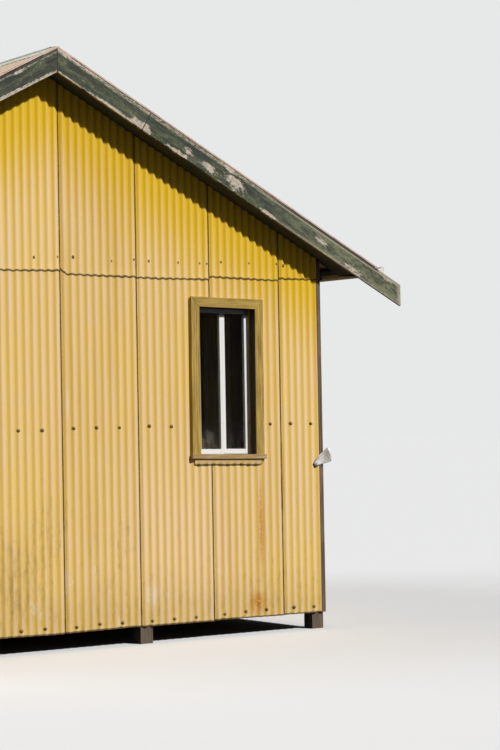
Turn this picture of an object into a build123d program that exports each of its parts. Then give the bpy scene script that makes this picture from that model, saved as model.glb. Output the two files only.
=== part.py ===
from build123d import *
import math
import os

# A small gabled cabin clad in corrugated iron, in millimetres.
# X runs along the front gable, Y from front to back and Z up, with the origin on the ground at the centre.

# Clearances
SEAT = 0.3          # between a piece and what carries it
FIT = 1.0           # around a casing that goes through the iron, and around the door
PAST = 1.0          # that a cutter runs past what it cuts

# Corrugated iron
PITCH = 76.2        # crest to crest
DEPTH = 16.0        # trough to crest
GAUGE = 1.0
PER_SHEET = 10      # corrugations that one sheet covers
SIDE_LAP = 1        # corrugations under the next sheet, on the gables
GABLE_WAVES = 74    # corrugations across a gable
GABLE_JOINT = 1.5   # corrugations from the middle of the gable to a joint of sheets
SIDE_SHEETS = 8     # sheets along a side wall
SHEET_FOOT = 150.0
COURSE_DROP = 208.0     # from the barge at the corner of the gable down to the foot of the upper course
COURSE_LAP = 150.0

# Corner stops
CORNER = 42.0

# Floor
STUMP_WIDE = 125.0
STUMP_HIGH = 155.0
STUMP_COLUMNS = 4
BEARERS = 5
BEARER_WIDE = 75.0
BEARER_DEEP = 100.0
JOISTS = 10
JOIST_WIDE = 50.0
JOIST_DEEP = 75.0
FLOOR_THICK = 20.0

# Wall frames
WALL_HIGH = 3092.0      # from the floor to the top of the side frames
STUD_WIDE = 50.0
STUD_DEEP = 100.0
STUD_SPACING = 775.0
NOGGING_MIDDLE = 1886.0

# Roof
ROOF_PITCH = 27.7
VERGE = 200.0       # from the gable's iron to the face of the barge
PURLIN_WIDE = 75.0
PURLIN_DEEP = 38.0
PURLINS = 6
TOP_PURLIN = 100.0  # from the ridge to the middle of the first purlin
RAFTER_WIDE = 50.0
RAFTER_DEEP = 125.0
RAFTER_PAIRS = 11
EAVE = 510.0        # from the face of the frame to the plumb cut of the rafters
TAIL_HIGH = 27.0    # height of that cut, down to the level cut under the tails
BIRDSMOUTH = 60.0
RIDGE_THICK = 25.0
TIE_WIDE = 38.0
TIE_DEEP = 90.0
LINING = 12.0
ROOF_OVER = 30.0    # roof sheets past the rafters
RIDGE_GAP = 15.0

# Barges and cappings
BARGE_THICK = 25.0
BARGE_OVER = 300.0  # barges past the rafters
SPLICE_ALONG = 1042.0
VERGE_CAP_WIDE = 180.0
VERGE_CAP_DROP = 14.0
RIDGE_CAP_WIDE = 150.0
RIDGE_ROLL = 24.0
RIDGE_ROLL_RISE = 11.0

# Gutters
GUTTER_METAL = 1.5
GUTTER_WIDE = 125.0
GUTTER_DROP = 6.0       # below the rafter tails
GUTTER_HIGH = 86.0
GUTTER_CLEAR = 2.0      # below the ends of the roof sheets
GUTTER_BEVEL = 28.0

# Flashings
APRON_INSET = 35.0      # from the end of the sill above
APRON_DROP = 59.0
FLAP_FOOT = 1485.0
FLAP_OUT = 50.0         # both ways past the corner, where it is bent out by half a right angle
FLAP_THICK = 1.5        # along Y
# X from the corner and Z from the foot of the flap
FLAP = [(-119.0, 30.0), (30.0, 190.0), (50.0, 119.0), (50.0, 49.0), (-98.0, 0.0)]

# Windows, all of one size
WINDOW_WIDE = 600.0
WINDOW_HIGH = 1311.0
WINDOW_FOOT = 1628.0
GABLE_WINDOW = 1807.0   # from the middle of the gable to the middle of a window
SIDE_WINDOW = 1450.0    # from the middle of a side wall to the middle of a window
LINER = 19.0
ARCHITRAVE_WIDE = 88.0
ARCHITRAVE_THICK = 14.0
SILL_HIGH = 40.0
SILL_EAR = 12.0
SILL_THICK = 32.0
SASH_SETBACK = 90.0     # from the face of the architrave to the face of the sash
SASH_THICK = 33.0
STILE = 60.0
MEETING_STILE = 27.0
RAIL = 44.0
GLASS_THICK = 4.0

# Door, in the left wall
DOOR_WIDE = 700.0
DOOR_HIGH = 2030.0
DOOR_THICK = 40.0
DOOR_SETBACK = 70.0
DOOR_MIDDLE = -1150.0
LEDGE_WIDE = 120.0
LEDGE_THICK = 25.0
KNOB_SIDES = 8
KNOB_RADIUS = 24.0
KNOB_REACH = 45.0
KNOB_HIGH = 1000.0
KNOB_INSET = 60.0

# Worked out from the sizes above
SLOPE = math.tan(math.radians(ROOF_PITCH))
RISE = math.sin(math.radians(ROOF_PITCH))
RUN = math.cos(math.radians(ROOF_PITCH))
LEAN = GAUGE + SEAT
COURSE_STEP = 2 * LEAN
SHEET = PER_SHEET * PITCH
PLAIN_DEEP = DEPTH + GAUGE
LAPPED_DEEP = PLAIN_DEEP + LEAN + LEAN * SIDE_LAP / PER_SHEET
GABLE_RUN = GABLE_WAVES * PITCH
SIDE_RUN = SIDE_SHEETS * SHEET
HALF_X = GABLE_RUN / 2 + SEAT + CORNER
HALF_Y = SIDE_RUN / 2 + SEAT + CORNER
LOWER_FACE = HALF_Y - COURSE_STEP
FRAME_X = HALF_X - PLAIN_DEEP - SEAT
FRAME_Y = LOWER_FACE - LAPPED_DEEP - SEAT
RAFTER_REACH = FRAME_X + EAVE
ROOF_REACH = RAFTER_REACH + ROOF_OVER
BARGE_REACH = RAFTER_REACH + BARGE_OVER
BEARER_FOOT = STUMP_HIGH + SEAT
JOIST_FOOT = BEARER_FOOT + BEARER_DEEP + SEAT
FLOOR_FOOT = JOIST_FOOT + JOIST_DEEP + SEAT
PLATE_FOOT = FLOOR_FOOT + FLOOR_THICK + SEAT
RAFTER_TOP = PURLIN_DEEP + SEAT
RAFTER_FOOT = RAFTER_TOP + RAFTER_DEEP
BARGE_DEEP = RAFTER_FOOT + SEAT + LINING
BARGE_FACE = HALF_Y + VERGE
BARGE_BACK = BARGE_FACE - BARGE_THICK
ROOF_RUN = math.floor(2 * BARGE_FACE / PITCH) * PITCH
CREST = PLAIN_DEEP + SEAT
PLATE_TOP = PLATE_FOOT + WALL_HIGH
APEX = PLATE_TOP + SEAT + (FRAME_X - BIRDSMOUTH) * SLOPE + RAFTER_FOOT / RUN


def roof(x, below=0.0):
    """Height at x of the plane that lies `below` the undersides of the roof sheets, square to them.

    At the apex the undersides of the two slopes would meet.
    """
    return APEX - abs(x) * SLOPE - below / RUN


def on_slope(along, below):
    """The point of X and Z that is `along` the right slope from the ridge and `below` its plane."""
    return along * RUN - below * RISE, APEX - along * RISE - below * RUN


def roof_reaches(height, below):
    """The x at which the plane `below` the right slope comes down to a height."""
    return (APEX - below / RUN - height) / SLOPE


EAVE_CUT = roof(RAFTER_REACH, RAFTER_TOP) - TAIL_HIGH
COURSE_FOOT = roof(GABLE_RUN / 2, BARGE_DEEP) - SEAT - COURSE_DROP


def block(x0, x1, y0, y1, z0, z1):
    """A square-cut piece between six planes."""
    centre = Pos((x0 + x1) / 2, (y0 + y1) / 2, (z0 + z1) / 2)
    return centre * Box(x1 - x0, y1 - y0, z1 - z0)


def outline(points):
    return make_face(Polyline(*points, close=True))


def run_y(sketch, y0, y1):
    """A sketch of X and Z, run from y0 to y1."""
    return extrude(Plane(origin=(0, y1, 0), x_dir=(1, 0, 0), z_dir=(0, -1, 0)) * sketch, y1 - y0)


def evenly(first, last, count):
    return [first + (last - first) * i / (count - 1) for i in range(count)]


def mirrored(pieces):
    return [mirror(piece, Plane.YZ) for piece in pieces]


def turned(pieces, angle):
    """Pieces drawn for the front wall, turned to another: 90 is the right, 180 the back, 270 the left."""
    return [Rot(0, 0, angle) * piece for piece in pieces]


def write(name, pieces):
    solids = [solid for piece in pieces for solid in piece.solids()]
    shape = solids[0] if len(solids) == 1 else Compound(children=solids)
    shape.label = name
    export_step(shape, f"parts/{name}.step")


# Corrugated iron

def fold_places(start, end):
    """Where the crests and troughs lie between start and end, with both ends; 0 is in a trough."""
    step = PITCH / 2
    first = math.floor(round(start / step, 6)) + 1
    last = math.ceil(round(end / step, 6))
    return [start] + [i * step for i in range(first, last)] + [end]


def wave(u):
    """How far the iron stands out at u, from 0 in a trough to DEPTH on a crest."""
    phase = u / PITCH % 1
    return DEPTH * 2 * min(phase, 1 - phase)


def sheet_section(nominal, start, end, lean):
    """Section of a sheet that faces -Y, its foremost crest at Y = 0.

    A lapped sheet leans by its own thickness over its width, so that its first edge lies on the
    last edge of the sheet before it.
    """
    front = [(u, lean * (u - nominal) / SHEET + DEPTH - wave(u)) for u in fold_places(start, end)]
    back = [(u, v + GAUGE) for u, v in reversed(front)]
    return outline(front + back)


def sheet_sections(first, last, joint, lap):
    """Sections of the sheets that cover a wall from first to last, one of them starting at joint."""
    lean = LEAN if lap else 0.0
    sections = []
    nominal = joint - math.ceil(round((joint - first) / SHEET, 6)) * SHEET
    while nominal < last - SEAT:
        start = max(nominal, first)
        end = min(nominal + SHEET + lap * PITCH - SEAT, last)
        sections.append(Pos(joint, 0) * sheet_section(nominal - joint, start - joint, end - joint, lean))
        nominal += SHEET
    return sections


def wall_iron(first, last, joint, foot, head, face, lap):
    sections = sheet_sections(first, last, joint, lap)
    return [Pos(0, -face, foot) * extrude(section, head - foot) for section in sections]


def pierced(sheets, gaps, face):
    """The sheets of a wall with each casing of a window or door cut through."""
    cut = []
    for sheet in sheets:
        for gap in gaps:
            sheet -= run_y(gap_sketch(gap, LINER + FIT), -face - PAST, -face + LAPPED_DEEP + PAST)
        cut += sheet.solids()
    return cut


# Gaps in a wall: the middle of the clear gap, its width and height, and its foot

def window_gap(middle):
    return middle, WINDOW_WIDE, WINDOW_HIGH, WINDOW_FOOT


def gap_sketch(gap, margin):
    middle, wide, high, foot = gap
    return Pos(middle, foot + high / 2) * Rectangle(wide + 2 * margin, high + 2 * margin)


GABLE_GAPS = [window_gap(-GABLE_WINDOW), window_gap(GABLE_WINDOW)]
RIGHT_GAPS = [window_gap(-SIDE_WINDOW), window_gap(SIDE_WINDOW)]
DOOR_GAP = (DOOR_MIDDLE, DOOR_WIDE, DOOR_HIGH, PLATE_FOOT + LINER)
LEFT_WINDOW = window_gap(SIDE_WINDOW)


# Wall frames

def stud_bays(half, gaps):
    """The clear bays between studs as (left, right, gap), with a stud each side of every gap."""
    bays = []
    left = -half + STUD_WIDE
    for gap in sorted(gaps) + [None]:
        reach = gap[1] / 2 + LINER + SEAT if gap else 0.0
        right = gap[0] - reach - STUD_WIDE if gap else half - STUD_WIDE
        count = math.ceil((right - left + STUD_WIDE) / STUD_SPACING)
        marks = evenly(left, right + STUD_WIDE, count + 1)
        bays += [(a, b - STUD_WIDE, None) for a, b in zip(marks, marks[1:])]
        if gap:
            bays.append((gap[0] - reach, gap[0] + reach, gap))
            left = gap[0] + reach + STUD_WIDE
    return bays


def bay_heights(gap):
    """The clear heights in a bay as (foot, head), the last with no head where it meets the top plate."""
    foot = PLATE_FOOT + STUD_WIDE
    heights = []
    if gap:
        _, _, high, gap_foot = gap
        low, top = gap_foot - LINER - SEAT, gap_foot + high + LINER + SEAT
        if low - STUD_WIDE > foot:
            heights.append((foot, low - STUD_WIDE))
        heights.append((low, top))
        foot = top + STUD_WIDE
    else:
        heights.append((foot, NOGGING_MIDDLE - STUD_WIDE / 2))
        foot = NOGGING_MIDDLE + STUD_WIDE / 2
    heights.append((foot, None))
    return heights


def wall_frame(half, gaps, face, top, ridge):
    """A stud frame with its outer face at -Y = face, under the line top(x); ridge if that has a peak."""

    def under_top(left, right, foot, below):
        """What lies between two uprights from foot to `below` the top line."""
        peak = [(0.0, top(0.0) - below)] if ridge and left < 0 < right else []
        head = [(right, top(right) - below)] + peak + [(left, top(left) - below)]
        return outline([(left, foot), (right, foot)] + head)

    sketch = under_top(-half, half, PLATE_FOOT, 0.0)
    for left, right, gap in stud_bays(half, gaps):
        for foot, head in bay_heights(gap):
            if head is None:
                sketch -= under_top(left, right, foot, STUD_WIDE / RUN)
            else:
                sketch -= outline([(left, foot), (right, foot), (right, head), (left, head)])
    return run_y(sketch, -face, -face + STUD_DEEP)


# Windows and door, drawn in the front wall whose foremost iron is at -Y = face

def casing(gap, face, frame):
    """The liner through to the inside of the frame, the architraves on three sides and the sill."""
    middle, wide, high, foot = gap
    front = -face - SEAT
    ring = gap_sketch(gap, LINER) - gap_sketch(gap, 0)
    board = Rectangle(wide + 2 * ARCHITRAVE_WIDE, high + ARCHITRAVE_WIDE)
    surround = Pos(middle, foot + (high + ARCHITRAVE_WIDE) / 2) * board - gap_sketch(gap, 0)
    sill_half = wide / 2 + ARCHITRAVE_WIDE + SILL_EAR
    liner = run_y(ring, front - SEAT, -frame + STUD_DEEP)
    architraves = run_y(surround, front - ARCHITRAVE_THICK, front)
    sill = block(middle - sill_half, middle + sill_half, front - SILL_THICK, front, foot - SILL_HIGH, foot)
    return liner + architraves + sill


def sash_places(gap, face):
    """The two sashes of a window as (left, right, opening left, opening right), and their front."""
    middle, wide, _, _ = gap
    half = wide / 2
    left = (middle - half + SEAT, middle - SEAT / 2)
    right = (middle + SEAT / 2, middle + half - SEAT)
    front = -face - SEAT - ARCHITRAVE_THICK + SASH_SETBACK
    leaves = [
        (*left, left[0] + STILE, left[1] - MEETING_STILE),
        (*right, right[0] + MEETING_STILE, right[1] - STILE),
    ]
    return leaves, front


def sashes(gap, face):
    _, _, high, foot = gap
    leaves, front = sash_places(gap, face)
    back = front + SASH_THICK
    pieces = []
    for left, right, light_left, light_right in leaves:
        leaf = block(left, right, front, back, foot + SEAT, foot + high - SEAT)
        light = block(light_left, light_right, front - PAST, back + PAST, foot + RAIL, foot + high - RAIL)
        pieces.append(leaf - light)
    return pieces


def glass(gap, face):
    _, _, high, foot = gap
    leaves, front = sash_places(gap, face)
    middle = front + SASH_THICK / 2
    bottom, top = foot + RAIL + SEAT, foot + high - RAIL - SEAT
    return [
        block(left + SEAT, right - SEAT, middle - GLASS_THICK / 2, middle + GLASS_THICK / 2, bottom, top)
        for _, _, left, right in leaves
    ]


def door(gap, face):
    """A ledged door that stands on its threshold."""
    middle, wide, high, foot = gap
    front = -face - SEAT - ARCHITRAVE_THICK + DOOR_SETBACK
    half = wide / 2 - FIT
    leaf = block(middle - half, middle + half, front, front + DOOR_THICK, foot + SEAT, foot + high - FIT)
    back = front + DOOR_THICK
    for z in evenly(foot + LEDGE_WIDE * 2, foot + high - LEDGE_WIDE * 2, 3):
        leaf += block(middle - half + LEDGE_THICK, middle + half - LEDGE_THICK, back, back + LEDGE_THICK,
                      z - LEDGE_WIDE / 2, z + LEDGE_WIDE / 2)
    return leaf


def door_knob(gap, face):
    middle, wide, _, foot = gap
    front = -face - SEAT - ARCHITRAVE_THICK + DOOR_SETBACK - SEAT
    centre = (middle + wide / 2 - KNOB_INSET, front, foot + KNOB_HIGH)
    place = Plane(origin=centre, x_dir=(1, 0, 0), z_dir=(0, -1, 0))
    neck = extrude(RegularPolygon(KNOB_RADIUS / 2, KNOB_SIDES), KNOB_REACH / 2)
    grip = Pos(0, 0, KNOB_REACH / 2) * extrude(RegularPolygon(KNOB_RADIUS, KNOB_SIDES), KNOB_REACH / 2)
    return place * (neck + chamfer(grip.faces().sort_by(Axis.Z)[-1].edges(), KNOB_RADIUS / 4))


# Roof pieces, drawn for the right slope

def rafter(y):
    inner = RIDGE_THICK / 2 + SEAT
    heel = FRAME_X + SEAT
    seat = FRAME_X - BIRDSMOUTH
    tail = roof_reaches(EAVE_CUT, RAFTER_FOOT)
    points = [
        (inner, roof(inner, RAFTER_TOP)),
        (RAFTER_REACH, roof(RAFTER_REACH, RAFTER_TOP)),
        (RAFTER_REACH, EAVE_CUT),
        (tail, EAVE_CUT),
        (heel, roof(heel, RAFTER_FOOT)),
        (heel, roof(seat, RAFTER_FOOT)),
        (seat, roof(seat, RAFTER_FOOT)),
        (inner, roof(inner, RAFTER_FOOT)),
    ]
    return run_y(outline(points), y - RAFTER_WIDE / 2, y + RAFTER_WIDE / 2)


def purlins():
    last = RAFTER_REACH / RUN - PURLIN_WIDE / 2
    pieces = []
    for along in evenly(TOP_PURLIN, last, PURLINS):
        near, far = along - PURLIN_WIDE / 2, along + PURLIN_WIDE / 2
        upper = [on_slope(near, 0), on_slope(far, 0)]
        lower = [on_slope(far, PURLIN_DEEP), on_slope(near, PURLIN_DEEP)]
        pieces.append(run_y(outline(upper + lower), -BARGE_BACK + SEAT, BARGE_BACK - SEAT))
    return pieces


def roof_iron():
    """The sheets of the right slope, their corrugations running down it."""
    sections = sheet_sections(-ROOF_RUN / 2, ROOF_RUN / 2, -ROOF_RUN / 2, 0)
    foot_x, foot_z = on_slope(ROOF_REACH / RUN, -CREST)
    plane = Plane(origin=(foot_x, 0, foot_z), x_dir=(0, 1, 0), z_dir=(-RUN, 0, RISE))
    return [plane * extrude(section, (ROOF_REACH - RIDGE_GAP) / RUN) for section in sections]


def slope_strip(start, end, top, bottom, y0, y1):
    """A strip down the right slope with plumb ends, between two depths below its plane."""
    upper = [(start, roof(start, top)), (end, roof(end, top))]
    lower = [(end, roof(end, bottom)), (start, roof(start, bottom))]
    return run_y(outline(upper + lower), y0, y1)


def barge():
    return slope_strip(SEAT / 2, BARGE_REACH, 0, BARGE_DEEP, -BARGE_FACE, -BARGE_BACK)


def spliced_barge():
    """The right board in its two lengths, cut square to the slope at the splice."""
    board = barge()
    reach = BARGE_REACH / RUN
    margin = BARGE_DEEP
    upper = outline([on_slope(-margin, -margin), on_slope(SPLICE_ALONG - SEAT / 2, -margin),
                     on_slope(SPLICE_ALONG - SEAT / 2, 2 * margin), on_slope(-margin, 2 * margin)])
    lower = outline([on_slope(SPLICE_ALONG + SEAT / 2, -margin), on_slope(reach + margin, -margin),
                     on_slope(reach + margin, 2 * margin), on_slope(SPLICE_ALONG + SEAT / 2, 2 * margin)])
    return [board & run_y(half, -BARGE_FACE - PAST, -BARGE_BACK + PAST) for half in (upper, lower)]


def verge_cap():
    """The bent strip over the edge of the roof sheets, above the barge."""
    start = (RIDGE_CAP_WIDE + GAUGE) * RUN + SEAT
    under = -(CREST + SEAT)
    over = under - GAUGE
    leaf = slope_strip(start, ROOF_REACH, over, under, -BARGE_FACE, -BARGE_FACE + VERGE_CAP_WIDE)
    drop = slope_strip(start, ROOF_REACH, over, over + VERGE_CAP_DROP, -BARGE_FACE, -BARGE_FACE + GAUGE)
    return leaf + drop


def ridge_cap():
    """The capping bent over the ridge, with a roll along its top."""
    under = -(CREST + SEAT)
    wing = RIDGE_CAP_WIDE * RUN

    def half_line(level):
        rise = roof(0, level) - roof(RIDGE_ROLL, level) + RIDGE_ROLL_RISE
        line = [(wing, roof(wing, level))]
        for angle in (0, 30, 60):
            turn = math.radians(angle)
            line.append((RIDGE_ROLL * math.cos(turn), roof(RIDGE_ROLL, level) + rise * math.sin(turn)))
        return line, (0.0, roof(0, level) + RIDGE_ROLL_RISE)

    lower, lower_top = half_line(under)
    upper, upper_top = half_line(under - GAUGE)
    left_lower = [(-x, z) for x, z in reversed(lower)]
    left_upper = [(-x, z) for x, z in upper]
    points = upper + [upper_top] + left_upper[::-1] + left_lower[::-1] + [lower_top] + lower[::-1]
    return run_y(outline(points), -BARGE_FACE, BARGE_FACE)


def gutter():
    """The right gutter, its back and end stops below the roof sheets that reach into it."""
    back = RAFTER_REACH + SEAT
    front = back + GUTTER_WIDE
    foot = EAVE_CUT - GUTTER_DROP
    lip = foot + GUTTER_HIGH
    top = roof(ROOF_REACH) - GUTTER_CLEAR
    end = BARGE_BACK - SEAT
    whole = [(back, top), (back, foot), (front - GUTTER_BEVEL, foot), (front, foot + GUTTER_BEVEL),
             (front, lip), (ROOF_REACH + DEPTH, top)]
    metal = GUTTER_METAL
    bevel = GUTTER_BEVEL - metal * (2 - math.sqrt(2))
    hollow = [(back + metal, lip + PAST), (back + metal, foot + metal), (front - metal - bevel, foot + metal),
              (front - metal, foot + metal + bevel), (front - metal, lip + PAST)]
    return run_y(outline(whole), -end, end) - run_y(outline(hollow), -end + metal, end - metal)


# Flashings

def sill_flashing(gap, face):
    """The strip of iron that hangs from under a sill, over the crests."""
    middle, wide, _, foot = gap
    half = wide / 2 + ARCHITRAVE_WIDE + SILL_EAR - APRON_INSET
    back = -face - SEAT
    top = foot - SILL_HIGH - SEAT
    return block(middle - half, middle + half, back - GAUGE, back, top - APRON_DROP, top)


def corner_flashing():
    """The loose end of a flashing, on the front right corner post and bent out past it."""
    back = -HALF_Y - SEAT
    tail = HALF_X + min(x for x, _ in FLAP)
    tip = HALF_X + FLAP_OUT
    plan = outline([(tail, back), (HALF_X, back), (tip, back - FLAP_OUT), (tip, back - FLAP_OUT - FLAP_THICK),
                    (HALF_X, back - FLAP_THICK), (tail, back - FLAP_THICK)])
    high = max(z for _, z in FLAP)
    view = outline([(HALF_X + x, FLAP_FOOT + z) for x, z in FLAP])
    bent = Pos(0, 0, FLAP_FOOT) * extrude(plan, high)
    return bent & run_y(view, back - FLAP_OUT - FLAP_THICK, back)


def floor_frame():
    half_x, half_y = FRAME_X, FRAME_Y
    bearer_ys = evenly(-half_y + BEARER_WIDE / 2, half_y - BEARER_WIDE / 2, BEARERS)
    stump_xs = evenly(-half_x + STUMP_WIDE / 2, half_x - STUMP_WIDE / 2, STUMP_COLUMNS)
    joist_xs = evenly(-half_x + JOIST_WIDE / 2, half_x - JOIST_WIDE / 2, JOISTS)
    stump_ys = evenly(-half_y + STUMP_WIDE / 2, half_y - STUMP_WIDE / 2, BEARERS)
    stump = Box(STUMP_WIDE, STUMP_WIDE, STUMP_HIGH)
    stumps = [Pos(x, y, STUMP_HIGH / 2) * stump for x in stump_xs for y in stump_ys]
    bearer = block(-half_x, half_x, -BEARER_WIDE / 2, BEARER_WIDE / 2, BEARER_FOOT, BEARER_FOOT + BEARER_DEEP)
    bearers = [Pos(0, y, 0) * bearer for y in bearer_ys]
    joist = block(-JOIST_WIDE / 2, JOIST_WIDE / 2, -half_y, half_y, JOIST_FOOT, JOIST_FOOT + JOIST_DEEP)
    joists = [Pos(x, 0, 0) * joist for x in joist_xs]
    floor = block(-half_x, half_x, -half_y, half_y, FLOOR_FOOT, FLOOR_FOOT + FLOOR_THICK)
    return stumps, bearers, joists, floor


def gable_iron():
    """The lower and the upper course of the front gable."""
    half = GABLE_RUN / 2
    joint = GABLE_JOINT * PITCH
    lower = wall_iron(-half, half, joint, SHEET_FOOT, COURSE_FOOT + COURSE_LAP, LOWER_FACE, SIDE_LAP)
    tall = wall_iron(-half, half, joint, COURSE_FOOT, APEX, HALF_Y, SIDE_LAP)
    rake = outline([(-half, COURSE_FOOT), (half, COURSE_FOOT), (half, roof(half, BARGE_DEEP) - SEAT),
                    (0, roof(0, BARGE_DEEP) - SEAT), (-half, roof(half, BARGE_DEEP) - SEAT)])
    cutter = run_y(rake, -HALF_Y - PAST, -HALF_Y + LAPPED_DEEP + PAST)
    upper = [sheet & cutter for sheet in tall]
    return pierced(lower, GABLE_GAPS, LOWER_FACE), upper


def side_iron(gaps):
    half = SIDE_RUN / 2
    top = roof(HALF_X, RAFTER_FOOT) - SEAT
    return pierced(wall_iron(-half, half, -half, SHEET_FOOT, top, HALF_X, 0), gaps, HALF_X)


def corner_stop():
    """The rebated post at the front right corner, against the ends of the iron."""
    inner = GABLE_RUN / 2 + SEAT
    top = roof(HALF_X, BARGE_DEEP) - SEAT
    post = block(inner, HALF_X, -HALF_Y, -HALF_Y + CORNER, SHEET_FOOT, top)
    rebate = block(inner - PAST, FRAME_X + SEAT, -FRAME_Y - SEAT, -HALF_Y + CORNER + PAST,
                   SHEET_FOOT - PAST, top + PAST)
    return post - rebate


def build():
    os.makedirs("parts", exist_ok=True)

    stumps, bearers, joists, floor = floor_frame()
    write("stumps", stumps)
    write("bearers", bearers)
    write("joists", joists)
    write("floor", [floor])

    gable_frame = wall_frame(FRAME_X, GABLE_GAPS, FRAME_Y, lambda x: roof(x, RAFTER_FOOT) - SEAT, True)
    side_half = FRAME_Y - STUD_DEEP - SEAT
    write("front_frame", [gable_frame])
    write("back_frame", turned([gable_frame], 180))
    write("right_frame", turned([wall_frame(side_half, RIGHT_GAPS, FRAME_X, lambda x: PLATE_TOP, False)], 90))
    left_gaps = [DOOR_GAP, LEFT_WINDOW]
    write("left_frame", turned([wall_frame(side_half, left_gaps, FRAME_X, lambda x: PLATE_TOP, False)], 270))

    rafter_ys = evenly(-FRAME_Y + RAFTER_WIDE / 2, FRAME_Y - RAFTER_WIDE / 2, RAFTER_PAIRS)
    rafters = [rafter(y) for y in rafter_ys]
    write("right_rafters", rafters)
    write("left_rafters", mirrored(rafters))
    tie_foot = PLATE_TOP + SEAT
    beside = RAFTER_WIDE / 2 + SEAT
    tie = block(-FRAME_X, FRAME_X, beside, beside + TIE_WIDE, tie_foot, tie_foot + TIE_DEEP)
    write("ceiling_ties", [Pos(0, y, 0) * tie for y in rafter_ys[1:-1]])
    ridge_half = RIDGE_THICK / 2
    ridge_end = BARGE_BACK - SEAT
    write("ridge_board", [block(-ridge_half, ridge_half, -ridge_end, ridge_end,
                                roof(0, RAFTER_FOOT), roof(ridge_half, RAFTER_TOP))])
    write("right_purlins", purlins())
    write("left_purlins", mirrored(purlins()))

    lower, upper = gable_iron()
    write("front_lower_iron", lower)
    write("front_upper_iron", upper)
    write("back_lower_iron", turned(lower, 180))
    write("back_upper_iron", turned(upper, 180))
    write("right_iron", turned(side_iron(RIGHT_GAPS), 90))
    write("left_iron", turned(side_iron(left_gaps), 270))
    roofing = roof_iron()
    write("right_roof_iron", roofing)
    write("left_roof_iron", mirrored(roofing))
    write("ridge_cap", [ridge_cap()])

    stop = [corner_stop()]
    stops = stop + mirrored(stop)
    write("corner_stops", stops + turned(stops, 180))
    cap = [verge_cap()]
    caps = cap + mirrored(cap)
    write("verge_caps", caps + turned(caps, 180))
    lining_end = roof_reaches(EAVE_CUT, BARGE_DEEP)
    lining = [slope_strip(SEAT / 2, lining_end, BARGE_DEEP - LINING, BARGE_DEEP,
                          -BARGE_BACK + SEAT, -FRAME_Y - SEAT)]
    linings = lining + mirrored(lining)
    write("verge_linings", linings + turned(linings, 180))
    write("front_left_barge", mirrored([barge()]))
    write("front_right_barge", spliced_barge())
    write("back_barges", turned([barge()] + mirrored([barge()]), 180))
    write("right_gutter", [gutter()])
    write("left_gutter", mirrored([gutter()]))

    panes, aprons = [], []
    for wall, angle, face, frame, gaps in (
        ("front", 0, LOWER_FACE, FRAME_Y, GABLE_GAPS),
        ("right", 90, HALF_X, FRAME_X, RIGHT_GAPS),
        ("back", 180, LOWER_FACE, FRAME_Y, GABLE_GAPS),
        ("left", 270, HALF_X, FRAME_X, [LEFT_WINDOW]),
    ):
        write(f"{wall}_window_casings", turned([casing(gap, face, frame) for gap in gaps], angle))
        write(f"{wall}_sashes", turned([leaf for gap in gaps for leaf in sashes(gap, face)], angle))
        panes += turned([pane for gap in gaps for pane in glass(gap, face)], angle)
        aprons += turned([sill_flashing(gap, face) for gap in gaps], angle)
    write("glass_panes", panes)
    write("sill_flashings", aprons)
    write("corner_flashing", [corner_flashing()])
    write("door_casing", turned([casing(DOOR_GAP, HALF_X, FRAME_X)], 270))
    write("door", turned([door(DOOR_GAP, HALF_X)], 270))
    write("door_knob", turned([door_knob(DOOR_GAP, HALF_X)], 270))


build()
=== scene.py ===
import math
import random

import bpy
import numpy as np
from mathutils import Matrix, Vector

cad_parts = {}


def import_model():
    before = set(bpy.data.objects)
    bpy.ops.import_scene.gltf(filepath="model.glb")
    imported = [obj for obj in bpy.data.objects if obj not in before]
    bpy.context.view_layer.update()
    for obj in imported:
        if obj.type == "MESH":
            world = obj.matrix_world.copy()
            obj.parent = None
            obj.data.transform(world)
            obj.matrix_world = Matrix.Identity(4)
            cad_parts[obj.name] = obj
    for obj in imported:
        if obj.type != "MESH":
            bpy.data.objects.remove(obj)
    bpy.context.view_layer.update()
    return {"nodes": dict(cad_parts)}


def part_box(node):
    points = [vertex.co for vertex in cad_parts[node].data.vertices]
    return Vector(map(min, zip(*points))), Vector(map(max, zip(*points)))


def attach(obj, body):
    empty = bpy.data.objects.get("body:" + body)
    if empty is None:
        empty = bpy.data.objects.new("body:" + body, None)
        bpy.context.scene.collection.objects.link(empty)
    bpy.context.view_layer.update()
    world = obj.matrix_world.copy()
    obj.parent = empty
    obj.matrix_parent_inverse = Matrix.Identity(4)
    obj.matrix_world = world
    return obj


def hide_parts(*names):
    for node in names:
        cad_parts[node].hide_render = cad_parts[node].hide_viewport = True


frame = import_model()

# Sizes in metres. A wall is drawn as the front one: u along it, v into it and z up.

# Corrugated iron
PITCH = 0.0762
DEPTH = 0.016
GAUGE = 0.001
SHEET = 10 * PITCH
GABLE_JOINT = 1.5 * PITCH
LEAN = 0.0013           # how much further out a lapped sheet's first edge is than its last
SEAM_COLUMNS = (0.003, 0.008, 0.016)
HIGHLIGHT_SHIFT = 0.010        # how far towards the sun from its crest a fold is palest: chalk on the crests, moved onto the sunlit flank as a painted highlight
COUNTERSHADE_SHIFT = 0.011           # and how far from the sun from its crest the painted counter-shade is lightest
TUCK = 0.035            # how much the hidden edge of a lapped sheet is cut back at its foot
TUCK_OVER = SHEET / 40  # the width over which it is
CURL = 0.0022           # how far a sheet's first edge stands out
EDGE_WAVER, FOOT_WAVER = 0.0016, 0.0012
LOOSE = 3.0             # how much more a crinkled stretch of the edge wavers
EASE = 0.001            # between a sheet and the liner of a window or door

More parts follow.
